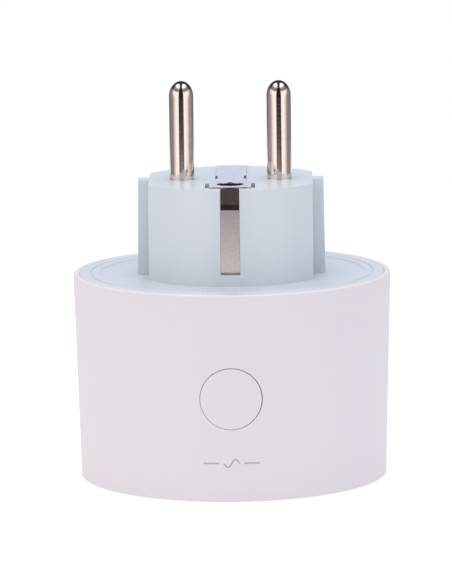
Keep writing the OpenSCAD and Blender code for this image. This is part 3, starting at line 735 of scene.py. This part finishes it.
# %% Helpers for node trees
class Rule:
    def __init__(self, name, **inputs):
        self.tree = bpy.data.node_groups.new(name, "GeometryNodeTree")
        self.kinds = {float: "NodeSocketFloat", int: "NodeSocketInt"}
        self.ids = {}
        face = self.tree.interface
        face.new_socket("Geometry", in_out="INPUT", socket_type="NodeSocketGeometry")
        for key, value in inputs.items():
            item = face.new_socket(key.replace("_", " "), in_out="INPUT", socket_type=self.kinds[type(value)])
            item.default_value = value
            self.ids[key] = item.identifier
        item = face.new_socket("Finish", in_out="INPUT", socket_type="NodeSocketMaterial")
        self.ids["Finish"] = item.identifier
        face.new_socket("Geometry", in_out="OUTPUT", socket_type="NodeSocketGeometry")
        self.given = self.tree.nodes.new("NodeGroupInput")
        self.result = self.tree.nodes.new("NodeGroupOutput")

    def value(self, key):
        return self.given.outputs[key.replace("_", " ")]

    def add(self, kind, settings=None, **inputs):
        """A node with its settings. Inputs are joined to sockets or given values; i0 means input 0."""
        node = self.tree.nodes.new(kind)
        for key, val in (settings or {}).items():
            setattr(node, key, val)
        for key, val in inputs.items():
            numbered = key[0] == "i" and key[1:].isdigit()
            target = node.inputs[int(key[1:]) if numbered else key.replace("_", " ")]
            if isinstance(val, bpy.types.NodeSocket):
                self.tree.links.new(val, target)
            else:
                target.default_value = val
        return node.outputs[0]

    def math(self, operation, a, b=0.0):
        return self.add("ShaderNodeMath", {"operation": operation}, i0=a, i1=b)

    def end(self, geometry):
        """Every tree ends the same way: real geometry with a material."""
        real = self.add("GeometryNodeRealizeInstances", Geometry=geometry)
        done = self.add("GeometryNodeSetMaterial", Geometry=real, Material=self.given.outputs["Finish"])
        self.tree.links.new(done, self.result.inputs["Geometry"])

    def make(self, name, finish, base=None, **values):
        """Runs the rule with these values and returns the plain piece."""
        piece = base or mesh_object(name, [], [])
        piece.name = name
        modifier = piece.modifiers.new("rule", "NODES")
        modifier.node_group = self.tree
        for key, val in values.items():
            modifier[self.ids[key]] = val
        modifier[self.ids["Finish"]] = finish
        if piece.type == "MESH":
            freeze(piece)
            return piece
        bpy.context.view_layer.update()
        shown = piece.evaluated_get(bpy.context.evaluated_depsgraph_get())
        mesh = bpy.data.meshes.new_from_object(shown)
        bpy.data.objects.remove(piece)
        piece = bpy.data.objects.new(name, mesh)
        bpy.context.scene.collection.objects.link(piece)
        return piece

# %% [markdown]
# ## The pins
# A pin is a bar with a rounded end. Turned along its own axis, its radius is a rule of its height: constant
# on the shank, a quarter ellipse, a little longer than it is wide, at the tip. The tree places points on a
# line with that rule, stores the radius on each, and sweeps a circle along them.

# %% The rule of a turned pin
pin_rule = Rule("turned_pin", Top=0.01, Radius=0.001, Tip=0.001, Root_Top=0.005, Shank_Points=24,
                Tip_Points=24)

def wire_pin_rule(r):
    index = r.tree.nodes.new("GeometryNodeInputIndex").outputs[0]
    count = r.math("ADD", r.value("Shank_Points"), r.value("Tip_Points"))
    count = r.math("ADD", count, 1.0)
    line = r.add("GeometryNodeMeshLine", Count=count)
    shoulder = r.math("SUBTRACT", r.value("Top"), r.value("Tip"))
    share = r.math("DIVIDE", index, r.value("Shank_Points"))
    span = r.math("SUBTRACT", shoulder, r.value("Root_Top"))
    shank_z = r.math("ADD", r.value("Root_Top"), r.math("MULTIPLY", span, share))
    past = r.math("SUBTRACT", index, r.value("Shank_Points"))
    turn = r.math("MULTIPLY", r.math("DIVIDE", past, r.value("Tip_Points")), math.pi / 2 * 0.9995)
    tip_z = r.math("ADD", shoulder, r.math("MULTIPLY", r.value("Tip"), r.math("SINE", turn)))
    tip_r = r.math("MULTIPLY", r.value("Radius"), r.math("COSINE", turn))
    at_tip = r.math("GREATER_THAN", index, r.value("Shank_Points"))
    pick = lambda a, b: r.add("ShaderNodeMix", {"data_type": "FLOAT"}, i0=at_tip, i2=a, i3=b)
    height = pick(shank_z, tip_z)
    radius = pick(r.value("Radius"), tip_r)
    spot = r.add("ShaderNodeCombineXYZ", Z=height)
    curve = r.add("GeometryNodeMeshToCurve", Mesh=line)
    curve = r.add("GeometryNodeSetPosition", Geometry=curve, Position=spot)
    circle = r.add("GeometryNodeCurvePrimitiveCircle", Resolution=96, Radius=1.0)
    bar = r.add("GeometryNodeCurveToMesh", Curve=curve, Profile_Curve=circle, Scale=radius, Fill_Caps=True)
    r.end(bar)

wire_pin_rule(pin_rule)

# %% Two pins
def build_pin(name, side):
    piece = pin_rule.make(name, turned_nickel, Top=PIN_TOP * MM, Radius=PIN_R * MM, Tip=PIN_TIP * MM,
                          Root_Top=(FACE_Z - 0.05) * MM)
    outward(piece, 1e-8)
    root = lathe("root", [(0, FACE_Z - 3.8), (3.4, FACE_Z - 3.8), (3.4, FACE_Z - 2.3), (2.6, FACE_Z - 2.3),
                          (2.6, FACE_Z - 0.02), (2.35, FACE_Z), (0, FACE_Z)], 64)
    tail = lathe("tail", [(0, pin_low[2]), (1.8, pin_low[2]), (2.0, pin_low[2] + 0.2), (2.0, FACE_Z - 3.8),
                          (0, FACE_Z - 3.8)], 64)
    piece = joined(name, [piece, root, tail])
    piece.data.transform(Matrix.Translation((side * PIN_X * MM, 0, 0)))
    return piece

place(build_pin("pin_line", 1), turned_nickel, "chassis", "nickel", "line_pin")
place(build_pin("pin_neutral", -1), turned_nickel, "chassis", "nickel", "neutral_pin")

# %% [markdown]
# ## Bent strip
# The outlet's two spring clips are plain strip with a few bends. That is a rule: a rectangle with rounded
# corners that follows a path whose own corners are rounded too.

# %% The rule of a bent strip
strip_rule = Rule("bent_strip", Width=0.004, Thickness=0.0006, Bend_Radius=0.001, Edge_Radius=0.0001)

def wire_strip_rule(r):
    curve = r.add("GeometryNodeFilletCurve", {"mode": "POLY"}, Curve=r.given.outputs["Geometry"],
                  Radius=r.value("Bend_Radius"), Limit_Radius=True, Count=8)
    curve = r.add("GeometryNodeSetCurveNormal", {"mode": "Z_UP"}, Curve=curve)
    section = r.add("GeometryNodeCurvePrimitiveQuadrilateral", Width=r.value("Width"),
                    Height=r.value("Thickness"))
    section = r.add("GeometryNodeFilletCurve", {"mode": "POLY"}, Curve=section,
                    Radius=r.value("Edge_Radius"), Limit_Radius=True, Count=3)
    r.end(r.add("GeometryNodeCurveToMesh", Curve=curve, Profile_Curve=section, Fill_Caps=True))

wire_strip_rule(strip_rule)

def path_curve(name, points):
    """A straight-sided path in the YZ plane at X = 0."""
    data = bpy.data.curves.new(name, "CURVE")
    data.dimensions = "3D"
    spline = data.splines.new("POLY")
    spline.points.add(len(points) - 1)
    for p, (y, z) in zip(spline.points, points):
        p.co = (0, y * MM, z * MM, 1)
    piece = bpy.data.objects.new(name, data)
    bpy.context.scene.collection.objects.link(piece)
    return piece

def strip_leg(name, points, width, bend=0.5, thickness=0.6):
    piece = strip_rule.make(name, strip_nickel, base=path_curve(name, points), Width=width * MM,
                            Thickness=thickness * MM, Bend_Radius=bend * MM, Edge_Radius=0.07 * MM)
    outward(piece, 1e-8)
    level(piece)
    return piece

# %% [markdown]
# ## The earth strap
# One nickel-plated strip runs over the insert's face and down both sides. At the front it widens to a head
# with the hole for an outlet's earth pin, and from there it leans outwards, so that an outlet's clip slides
# onto it. It is made the way a press makes it: a flat blank is punched and its edges rounded, and then it
# is bent. The bending is a rule again. Each point of the blank goes to the place that lies as far along the
# path, and its height above the blank's middle becomes its distance from the path.

# %% The strap's path
def rounded_path(corners, radii, steps=10):
    """Points of a (y, z) path whose inner corners are arcs, with the length along the path at each."""
    points = [np.array(corners[0])]
    for k, r in enumerate(radii, 1):
        before, at, after = (np.array(corners[k + d]) for d in (-1, 0, 1))
        u, v = (before - at) / np.linalg.norm(before - at), (after - at) / np.linalg.norm(after - at)
        half = math.acos(u @ v) / 2
        centre = at + (u + v) / np.linalg.norm(u + v) * r / math.sin(half)
        first, last = (at + w * r / math.tan(half) - centre for w in (u, v))
        a, b = math.atan2(first[1], first[0]), math.atan2(last[1], last[0])
        b = a + (b - a + math.pi) % (2 * math.pi) - math.pi
        points += [centre + r * np.array((math.cos(t), math.sin(t))) for t in np.linspace(a, b, steps + 1)]
    points.append(np.array(corners[-1]))
    along = np.concatenate([[0], np.cumsum(np.linalg.norm(np.diff(points, axis=0), axis=1))])
    return points, along

mid, out, foot, lean = STRAP_TOP - STRAP_T / 2, STRAP_OUT - STRAP_T / 2, 42.3, LEAN_Y + 0.03
knee = mid - (out - lean) * (STRAP_TOP - KNEE_Z) / (STRAP_OUT - LEAN_Y)
strap_points, strap_along = rounded_path(
    [(-14.2, foot), (-out, foot), (-out, knee), (-lean, mid), (out, mid), (out, foot), (14.2, foot)],
    [0.5, 2.0, 0.42, 0.36, 0.5])
START = next(s - p[0] for p, s in zip(strap_points, strap_along) if p[0] > -lean and abs(p[1] - mid) < 1e-6)
print("strip length in mm:", round(strap_along[-1], 2), "middle of the face at", round(START, 2))

# %% The blank
def strap_blank():
    """The flat strip. Its y is the length along the path, counted from the middle of the face."""
    front, rear = -START, strap_along[-1] - START
    wing = -lean + 0.22
    half = [(3, rear), (3, 2), (2.55, 2), (2.55, -2), (3, -2), (3, -7.5), (4.08, -7.5), (4.08, wing + 0.6),
            (3.45, wing), (1.85, wing), (1.85, front)]
    blank = prism(half + [(-x, y) for x, y in half[::-1]], -STRAP_T / 2, STRAP_T / 2, "strap_blank")
    carve(blank, disc(0, EYE_Y, 2.6, -1, 1))
    soften(blank, 0.06, 30, 3)
    bm = bmesh.new()
    bm.from_mesh(blank.data)
    for s in strap_along[1:-1]:
        geometry = bm.verts[:] + bm.edges[:] + bm.faces[:]
        bmesh.ops.bisect_plane(bm, geom=geometry, plane_co=(0, (s - START) * MM, 0),
                               plane_no=(0, 1, 0), dist=1e-8)
    bm.to_mesh(blank.data)
    bm.free()
    return blank

# %% The rule that bends it
bend_rule = Rule("bend_along_path", Start=0.01)

def wire_bend_rule(r, path):
    at = r.add("ShaderNodeSeparateXYZ", Vector=r.add("GeometryNodeInputPosition")).node
    info = r.add("GeometryNodeObjectInfo", Object=path).node
    length = r.math("ADD", at.outputs["Y"], r.value("Start"))
    sample = r.add("GeometryNodeSampleCurve", {"mode": "LENGTH"}, Curves=info.outputs["Geometry"],
                   Length=length).node
    sideways = r.add("ShaderNodeCombineXYZ", X=1.0)
    upright = r.add("ShaderNodeVectorMath", {"operation": "CROSS_PRODUCT"}, i0=sideways,
                    i1=sample.outputs["Tangent"])
    lift = r.add("ShaderNodeVectorMath", {"operation": "SCALE"}, i0=upright, Scale=at.outputs["Z"])
    aside = r.add("ShaderNodeCombineXYZ", X=at.outputs["X"])
    spot = r.add("ShaderNodeVectorMath", i0=sample.outputs["Position"], i1=lift)
    spot = r.add("ShaderNodeVectorMath", i0=spot, i1=aside)
    r.end(r.add("GeometryNodeSetPosition", Geometry=r.given.outputs["Geometry"], Position=spot))

def build_strap():
    path = path_curve("strap_path", strap_points)
    wire_bend_rule(bend_rule, path)
    strap = bend_rule.make("earth_strip", strip_nickel, base=strap_blank(), Start=START * MM)
    bpy.data.objects.remove(path)
    if strap.data.attributes.get("custom_normal"):
        strap.data.attributes.remove(strap.data.attributes["custom_normal"])
    outward(strap, 1e-8)
    collar = lathe("collar", [(2.6, FACE_Z - 7), (2.85, FACE_Z - 7), (2.85, STRAP_TOP - STRAP_T + 0.02),
                              (2.6, STRAP_TOP - STRAP_T + 0.02)], 96)
    collar.data.transform(Matrix.Translation((0, EYE_Y * MM, 0)))
    tabs = [box(*sorted((s * 3.55, s * 4.05)), -13.4, -7.56, STRAP_TOP - 1.6, STRAP_TOP - 0.2)
            for s in (-1, 1)]
    for tab in tabs:
        soften(tab, 0.08)
    return joined("earth_strip", [strap, *tabs]), joined("earth_collar", [collar])

strap, collar = build_strap()
place(strap, strip_nickel, "chassis", "nickel", "earth_strap")
# the collar gets the painted-shade nickel that darkens the eye's hole
place(collar, dull_nickel, "chassis", "nickel", "earth_strap")

# %% [markdown]
# ## Moulding marks
# A mould usually leaves small raised marks on the side nobody looks at, such as three rows of dashes on the
# plate in front of the insert. They hold no writing. A node tree puts points on an arc and sets a small bar
# on each, with a length drawn from a fixed seed.

# %% Rows of dashes
dash_rule = Rule("rows_of_dashes", Radius=0.02, Step=0.05, Length=0.0007, Width=0.0003, Height=0.0001,
                 Level=0.04, Count=11, Seed=1)

def wire_dash_rule(r):
    index = r.add("GeometryNodeInputIndex")
    middle = r.math("DIVIDE", r.math("SUBTRACT", r.value("Count"), 1.0), 2.0)
    angle = r.math("MULTIPLY", r.math("SUBTRACT", index, middle), r.value("Step"))
    x = r.math("MULTIPLY", r.value("Radius"), r.math("SINE", angle))
    y = r.math("MULTIPLY", r.value("Radius"), r.math("MULTIPLY", r.math("COSINE", angle), -1.0))
    points = r.add("GeometryNodeMeshLine", Count=r.value("Count"))
    points = r.add("GeometryNodeSetPosition", Geometry=points,
                   Position=r.add("ShaderNodeCombineXYZ", X=x, Y=y, Z=r.value("Level")))
    chance = r.add("FunctionNodeRandomValue", {"data_type": "FLOAT"}, i2=0.55, i3=1.0,
                   Seed=r.value("Seed")).node
    share = chance.outputs[1]
    size = r.add("ShaderNodeCombineXYZ", X=r.math("MULTIPLY", r.value("Length"), share), Y=r.value("Width"),
                 Z=r.value("Height"))
    turn = r.add("ShaderNodeCombineXYZ", Z=angle)
    bar = r.add("GeometryNodeMeshCube", Size=(1.0, 1.0, 1.0))
    r.end(r.add("GeometryNodeInstanceOnPoints", Points=points, Instance=bar, Rotation=turn, Scale=size))

wire_dash_rule(dash_rule)

def build_dashes():
    rows = [dash_rule.make("row", pale_grey, Radius=r * MM, Step=1.06 / r, Length=0.85 * MM, Width=w * MM,
                           Height=0.12 * MM, Level=(RIM_Z - 0.25) * MM, Count=11, Seed=seed)
            for r, w, seed in ((20.9, 0.5, 3), (22.7, 0.5, 8), (24.2, 0.3, 5))]
    for row in rows:
        outward(row, 1e-9)
    return joined("moulding_marks", rows)

place(build_dashes(), pale_grey, "chassis", "grey_shell", "plug_base")

# %% [markdown]
# ## The outlet on the standing side
# Under the plug is an outlet of the same family: a round well with two flats, slots for a plug's ribs, two
# pin holes, a spring clip front and back, and one screw in the middle. The same outline that made the
# insert, a size larger, makes the well: a plug has to fit it.

# %% Build the socket well
WELL_FLOOR = 17.5
CLIP_SLOT = 2.6

def build_well():
    cup = [(0, 0.2), (26.9, 0.2), (27.2, 0.5), (27.2, 1.2), (27.8, 1.2), (27.8, 2.8), (21.4, 2.8),
           (21.4, 20.0), (3.0, 20.0), (3.0, 22.8), (0, 22.8)]
    body = lathe("socket_cup", cup, 192)
    cuts = [prism(insert_outline(19.6, 16.9, 2.9), -1, WELL_FLOOR)]
    cuts += [disc(0, 0, 20.4, -0.6, 0.8, r1=19.4)]
    cuts += [disc(s * PIN_X, 0, 2.75, WELL_FLOOR - 1, 21, n=64) for s in (-1, 1)]
    cuts += [box(-CLIP_SLOT, CLIP_SLOT, 18, 20.5, 2.2, 21), box(-CLIP_SLOT, CLIP_SLOT, -20.5, -18, 2.2, 21)]
    cuts += [disc(0, 0, 2.95, WELL_FLOOR - 1, 19.3, n=64), disc(0, 0, 1.6, WELL_FLOOR - 1, 24, n=48)]
    carve(body, *cuts)
    a = math.radians(152.5)
    fin = box(6.6, 10, -0.6, 0.6, 19.5, 22.7)
    fin.data.transform(Matrix.Rotation(a, 4, "Z"))
    feet = [box(s * 8 - 2, s * 8 + 2, -22, -18.8, 9, 13) for s in (-1, 1)]
    carve(body, fin, *feet, union=True)
    outward(body)
    soften(body, 0.22, 30, 3)
    return body

place(build_well(), pale_grey, "chassis", "grey_shell", "socket_well")

# %% Spring clips of the outlet
def clip(name, s):
    y, top = 19.2, low_high("earth_clip_rear")[1][2]
    points = [(y, top), (y, 17.6), (y - 2.0, 9.4), (y - 2.0, 8.3), (y - 0.6, 4.25)]
    return strip_leg(name, [(s * a, z) for a, z in points], 4.0, 0.8)

place(clip("clip_rear", 1), strip_nickel, "rear_clip", "nickel", "earth_clip_rear")
place(clip("clip_front", -1), strip_nickel, "front_clip", "nickel", "earth_clip_front")

# %% [markdown]
# ## Parts whose shape is already right
# The rest keep the frame's shape. Each is copied, its loose triangles are merged, flat areas become single
# faces, and a small bevel rounds what the frame left sharp. The copy then stands for the node.

# %% Rounded copies of frame nodes
def rounded(node, name, width, body, finish, slot, angle=32):
    source = frame["nodes"][node]
    mesh = source.data.copy()
    mesh.name = name
    piece = bpy.data.objects.new(name, mesh)
    bpy.context.scene.collection.objects.link(piece)
    bm = bmesh.new()
    bm.from_mesh(mesh)
    bmesh.ops.remove_doubles(bm, verts=bm.verts, dist=1e-7)
    bmesh.ops.dissolve_limit(bm, angle_limit=math.radians(0.5), verts=bm.verts, edges=bm.edges)
    bm.to_mesh(mesh)
    bm.free()
    if mesh.attributes.get("custom_normal"):
        mesh.attributes.remove(mesh.attributes["custom_normal"])
    soften(piece, width, angle, 2)
    place(piece, finish, body, slot, node)
    return piece

rounded("shutter", "shutter_wings", 0.12, "shutter", pale_grey, "grey_shell")
rounded("case_screw", "screw_case", 0.12, "chassis", zinc.material, "zinc_steel")
rounded("contact_block", "contact_carrier", 0.15, "chassis", nylon.material, "dark_nylon")
rounded("relay", "relay_can", 0.25, "chassis", relay_black.material, "relay_case")
rounded("film_capacitor", "film_box", 0.3, "chassis", yellow.material, "yellow_case")
rounded("varistor", "varistor_disc", 0.5, "chassis", dipped.material, "blue_coat")

# %% [markdown]
# ## The shutter's spring
# A coil sits between a post under the well and a lug of the shutter. It is the one piece that has to give
# when the shutter turns. It is wound by a rule and laid straight from the lug to the post.

# %% The rule of a coil
coil_rule = Rule("wound_coil", Turns=7.0, Coil_Radius=0.001, Wire_Radius=0.0001, Length=0.01)

def wire_coil_rule(r):
    radius = r.value("Coil_Radius")
    path = r.add("GeometryNodeCurveSpiral", Resolution=32, Rotations=r.value("Turns"), Start_Radius=radius,
                 End_Radius=radius, Height=r.value("Length"))
    wire = r.add("GeometryNodeCurvePrimitiveCircle", Resolution=12, Radius=r.value("Wire_Radius"))
    r.end(r.add("GeometryNodeCurveToMesh", Curve=path, Profile_Curve=wire, Fill_Caps=True))

wire_coil_rule(coil_rule)

# %% The coil between post and lug
COIL_SEAT_R = 8.6
LUG_ANGLE = 76
POST_ANGLE = 142.5
COIL_R = 0.85
COIL_WIRE_R = 0.155

def build_coil():
    low, high = low_high("shutter_spring")

    def seat(angle):
        """Where an end of the coil sits: on a circle about the axis, halfway up the node it replaces."""
        a = math.radians(angle)
        return Vector((COIL_SEAT_R * math.cos(a), COIL_SEAT_R * math.sin(a), (low[2] + high[2]) / 2)) * MM

    lug, post = seat(LUG_ANGLE), seat(POST_ANGLE)
    span = post - lug
    piece = coil_rule.make("coil_spring", spring.material, Turns=7.0, Coil_Radius=COIL_R * MM,
                           Wire_Radius=COIL_WIRE_R * MM, Length=span.length)
    heading = Matrix.Rotation(math.atan2(span.y, span.x), 4, "Z") @ Matrix.Rotation(math.pi / 2, 4, "Y")
    piece.data.transform(Matrix.Translation(lug) @ heading)
    outward(piece, 1e-8)
    smooth(piece, 50)
    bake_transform(piece)
    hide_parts("shutter_spring")
    print(piece.name, "has", len(piece.data.polygons), "faces and spans", round(span.length / MM, 2), "mm")

build_coil()

# %% Finishes straight onto the remaining nodes
plain = {
    "earth_link": bronze, "earth_bracket": bronze, "live_contact": bronze, "neutral_contact": bronze,
    "line_busbar": bronze, "neutral_busbar": bronze, "header_pins": gold, "antenna": gold,
    "chassis_screws": zinc, "board_screws": zinc, "main_board": green_board, "control_board": green_board,
    "radio_board": blue_board, "radio_shield": tinned, "storage_capacitor": can_blue,
    "supply_capacitor": can_blue, "fuse": tube, "inductor": ferrite, "converter_chip": epoxy,
    "rectifier": epoxy, "current_shunt": epoxy, "header_block": nylon, "switch_body": nylon,
    "switch_plunger": acetal, "status_led": lens}
for node, finish in plain.items():
    part = frame["nodes"][node]
    part.data.materials.clear()
    part.data.materials.append(finish.material)
print(len(plain), "nodes keep their shape")

# %% [markdown]
# ## The studio
# Everything white: a pale floor that fades into a white surround, as in a light tent. Metal needs more than
# white, though. A chrome-like bar shows what is around it, and in a tent that is a bright wall to each side
# with a dark gap where the camera looks in. The world is therefore a function of direction for reflections,
# and plain white for everything else. The floor ends before the gap, so that low reflections of the pins
# run past its edge. Seen from underneath, the floor lets everything through, so that the outlet can be
# looked at too.

# %% The floor
def build_floor():
    """The far half is evenly white. The near part, out of the picture, darkens towards its front edge."""
    half, tongue, front, back = 330.0, 110.0, -466.0, 420.0
    points = [(-tongue, front), (tongue, front), (tongue, -260), (half, -40), (half, back),
              (-half, back), (-half, -40), (-tongue, -260)]
    piece = mesh_object("floor", [(x, y, -0.05) for x, y in points], [tuple(range(len(points)))])
    f = Finish("floor_white", (0.52, 0.52, 0.525), 0.9)
    f.tint(f.noise(60, 2, contrast=(0.3, 0.7)), (0.515, 0.515, 0.52), 1.0)
    axes = f.tree.nodes.new("ShaderNodeSeparateXYZ")
    f.link(f.place, axes.inputs[0])
    near = f.tree.nodes.new("ShaderNodeMapRange")
    near.inputs["From Min"].default_value, near.inputs["From Max"].default_value = -0.13, -0.46
    f.link(axes.outputs["Y"], near.inputs["Value"])
    f.tint(near.outputs["Result"], (0.26, 0.26, 0.265), 1.0)
    glow = f.tree.nodes.new("ShaderNodeMix")
    glow.data_type = "RGBA"
    glow.inputs["A"].default_value = (0.52, 0.52, 0.52, 1)
    glow.inputs["B"].default_value = (0.02, 0.02, 0.02, 1)
    f.link(near.outputs["Result"], glow.inputs["Factor"])
    f.link(glow.outputs["Result"], f.shader.inputs["Emission Color"])
    socket(f.shader, Emission_Strength=1.0, Specular_IOR_Level=0.1)
    see_through = f.tree.nodes.new("ShaderNodeMixShader")
    f.link(f.tree.nodes.new("ShaderNodeNewGeometry").outputs["Backfacing"], see_through.inputs[0])
    f.link(f.shader.outputs[0], see_through.inputs[1])
    f.link(f.tree.nodes.new("ShaderNodeBsdfTransparent").outputs[0], see_through.inputs[2])
    f.link(see_through.outputs[0], f.tree.nodes["Material Output"].inputs["Surface"])
    piece.data.materials.append(f.material)
    return piece

build_floor()

# %% The surround
def build_world():
    world = bpy.data.worlds.new("light_tent")
    world.use_nodes = True
    nodes, links = world.node_tree.nodes, world.node_tree.links

    def calc(operation, *values):
        node = nodes.new("ShaderNodeMath")
        node.operation = operation
        for k, v in enumerate(values):
            if isinstance(v, bpy.types.NodeSocket):
                links.new(v, node.inputs[k])
            else:
                node.inputs[k].default_value = v
        return node.outputs[0]

    def rise(value, low, high):
        """0 below low, 1 above high and a soft step between."""
        node = nodes.new("ShaderNodeMapRange")
        node.interpolation_type = "SMOOTHSTEP"
        node.inputs["From Min"].default_value, node.inputs["From Max"].default_value = low, high
        links.new(value, node.inputs["Value"])
        return node.outputs["Result"]

    def layer(under, over, share):
        node = nodes.new("ShaderNodeMix")
        node.data_type = "RGBA"
        for key, v in (("A", under), ("B", over)):
            if isinstance(v, tuple):
                node.inputs[key].default_value = (*v, 1)
            else:
                links.new(v, node.inputs[key])
        links.new(share, node.inputs["Factor"])
        return node.outputs["Result"]

    # a direction's three parts, and how far it points to either side
    xyz = nodes.new("ShaderNodeSeparateXYZ")
    links.new(nodes.new("ShaderNodeTexCoord").outputs["Generated"], xyz.inputs[0])
    x, away, up = xyz.outputs
    side = calc("ABSOLUTE", x)
    # two bright panels face the object from either side of the camera, and fade towards the back
    facing = calc("ADD", calc("MULTIPLY", calc("SUBTRACT", side, away), 0.58), calc("MULTIPLY", up, 0.57))
    towards = calc("SUBTRACT", calc("MULTIPLY", up, 0.9), away)
    gap = calc("ADD", side, calc("MULTIPLY", rise(up, 0.0, 1.0), 0.20))
    panels = calc("MULTIPLY", rise(facing, 0.50, 0.64), rise(towards, -0.13, 0.65))
    overhead = calc("MULTIPLY", rise(up, 0.70, 0.86), 0.8)
    belt = calc("MULTIPLY", rise(up, 0.35, 0.50), calc("SUBTRACT", 0.8, overhead))
    panels = calc("MULTIPLY", calc("MULTIPLY", panels, rise(gap, 0.32, 0.46)), calc("SUBTRACT", 1.0, belt))
    # a dark tent, greyer at the sides, bluish at the back, with the panels in front of it
    low = calc("SUBTRACT", 1.0, rise(up, 0.2, 0.5))
    colour = layer((0.016, 0.013, 0.012), (0.060, 0.050, 0.046), rise(up, 0.6, 0.95))
    colour = layer(colour, (0.32, 0.285, 0.285), calc("MULTIPLY", rise(side, 0.45, 0.95), low))
    colour = layer(colour, (0.72, 0.79, 1.00), calc("MULTIPLY", rise(away, 0.78, 0.98), low))
    glare = layer((1.38, 1.27, 1.20), (1.95, 1.85, 1.80), rise(up, 0.5, 0.85))
    colour = layer(colour, glare, panels)
    # only reflections see the tent: soft light comes from an even white, and the camera sees white
    rays = nodes.new("ShaderNodeLightPath")
    even = layer((0.99, 0.975, 0.965), (0.84, 0.89, 0.94), rise(x, -0.3, 1.0))
    colour = layer(even, colour, rays.outputs["Is Glossy Ray"])
    colour = layer(colour, (1.0, 1.0, 1.0), rays.outputs["Is Camera Ray"])
    links.new(colour, nodes["Background"].inputs["Color"])
    bpy.context.scene.world = world

build_world()

# %% Soft lights
def softbox(name, at, aim, size, power, colour=(1, 1, 1)):
    data = bpy.data.lights.new(name, "AREA")
    data.shape = "RECTANGLE"
    data.size, data.size_y = size
    data.energy = power
    data.color = colour
    light = bpy.data.objects.new(name, data)
    light.location = at
    light.rotation_euler = (Vector(aim) - Vector(at)).to_track_quat("-Z", "Y").to_euler()
    light.visible_glossy = False
    bpy.context.scene.collection.objects.link(light)
    return light

middle = (0, 0, 0.035)
softbox("key_left", (-0.35, -0.75, 0.45), middle, (0.5, 0.5), 0.2, (1.0, 0.985, 0.98))
softbox("top", (0.0, 0.05, 0.9), middle, (0.6, 0.6), 2.75, (1.0, 0.965, 0.985))

# %% [markdown]
# ## The camera
# A long lens nearly a metre away, nine degrees above the horizon, with a hair of roll. The small shift puts
# the object where the picture frame wants it.

# %% The camera
def build_camera():
    data = bpy.data.cameras.new("camera")
    data.lens, data.sensor_width = 287.2, 36
    data.shift_x, data.shift_y = -0.01055, 0.00657
    data.clip_start, data.clip_end = 0.05, 20
    camera = bpy.data.objects.new("camera", data)
    distance, rise, yaw, roll = 0.9141, math.radians(9.214), 0.0144, -0.0117
    aim = Vector((0, 0, 0.035))
    eye = Matrix.Rotation(yaw, 3, "Z") @ Vector((0, -distance * math.cos(rise), distance * math.sin(rise)))
    camera.location = aim + eye
    camera.rotation_mode = "QUATERNION"
    look = (-eye).to_track_quat("-Z", "Y")
    camera.rotation_quaternion = look @ Quaternion((0, 0, 1), roll)
    bpy.context.scene.collection.objects.link(camera)
    bpy.context.scene.camera = camera

build_camera()
bpy.context.scene.view_settings.view_transform = "Standard"
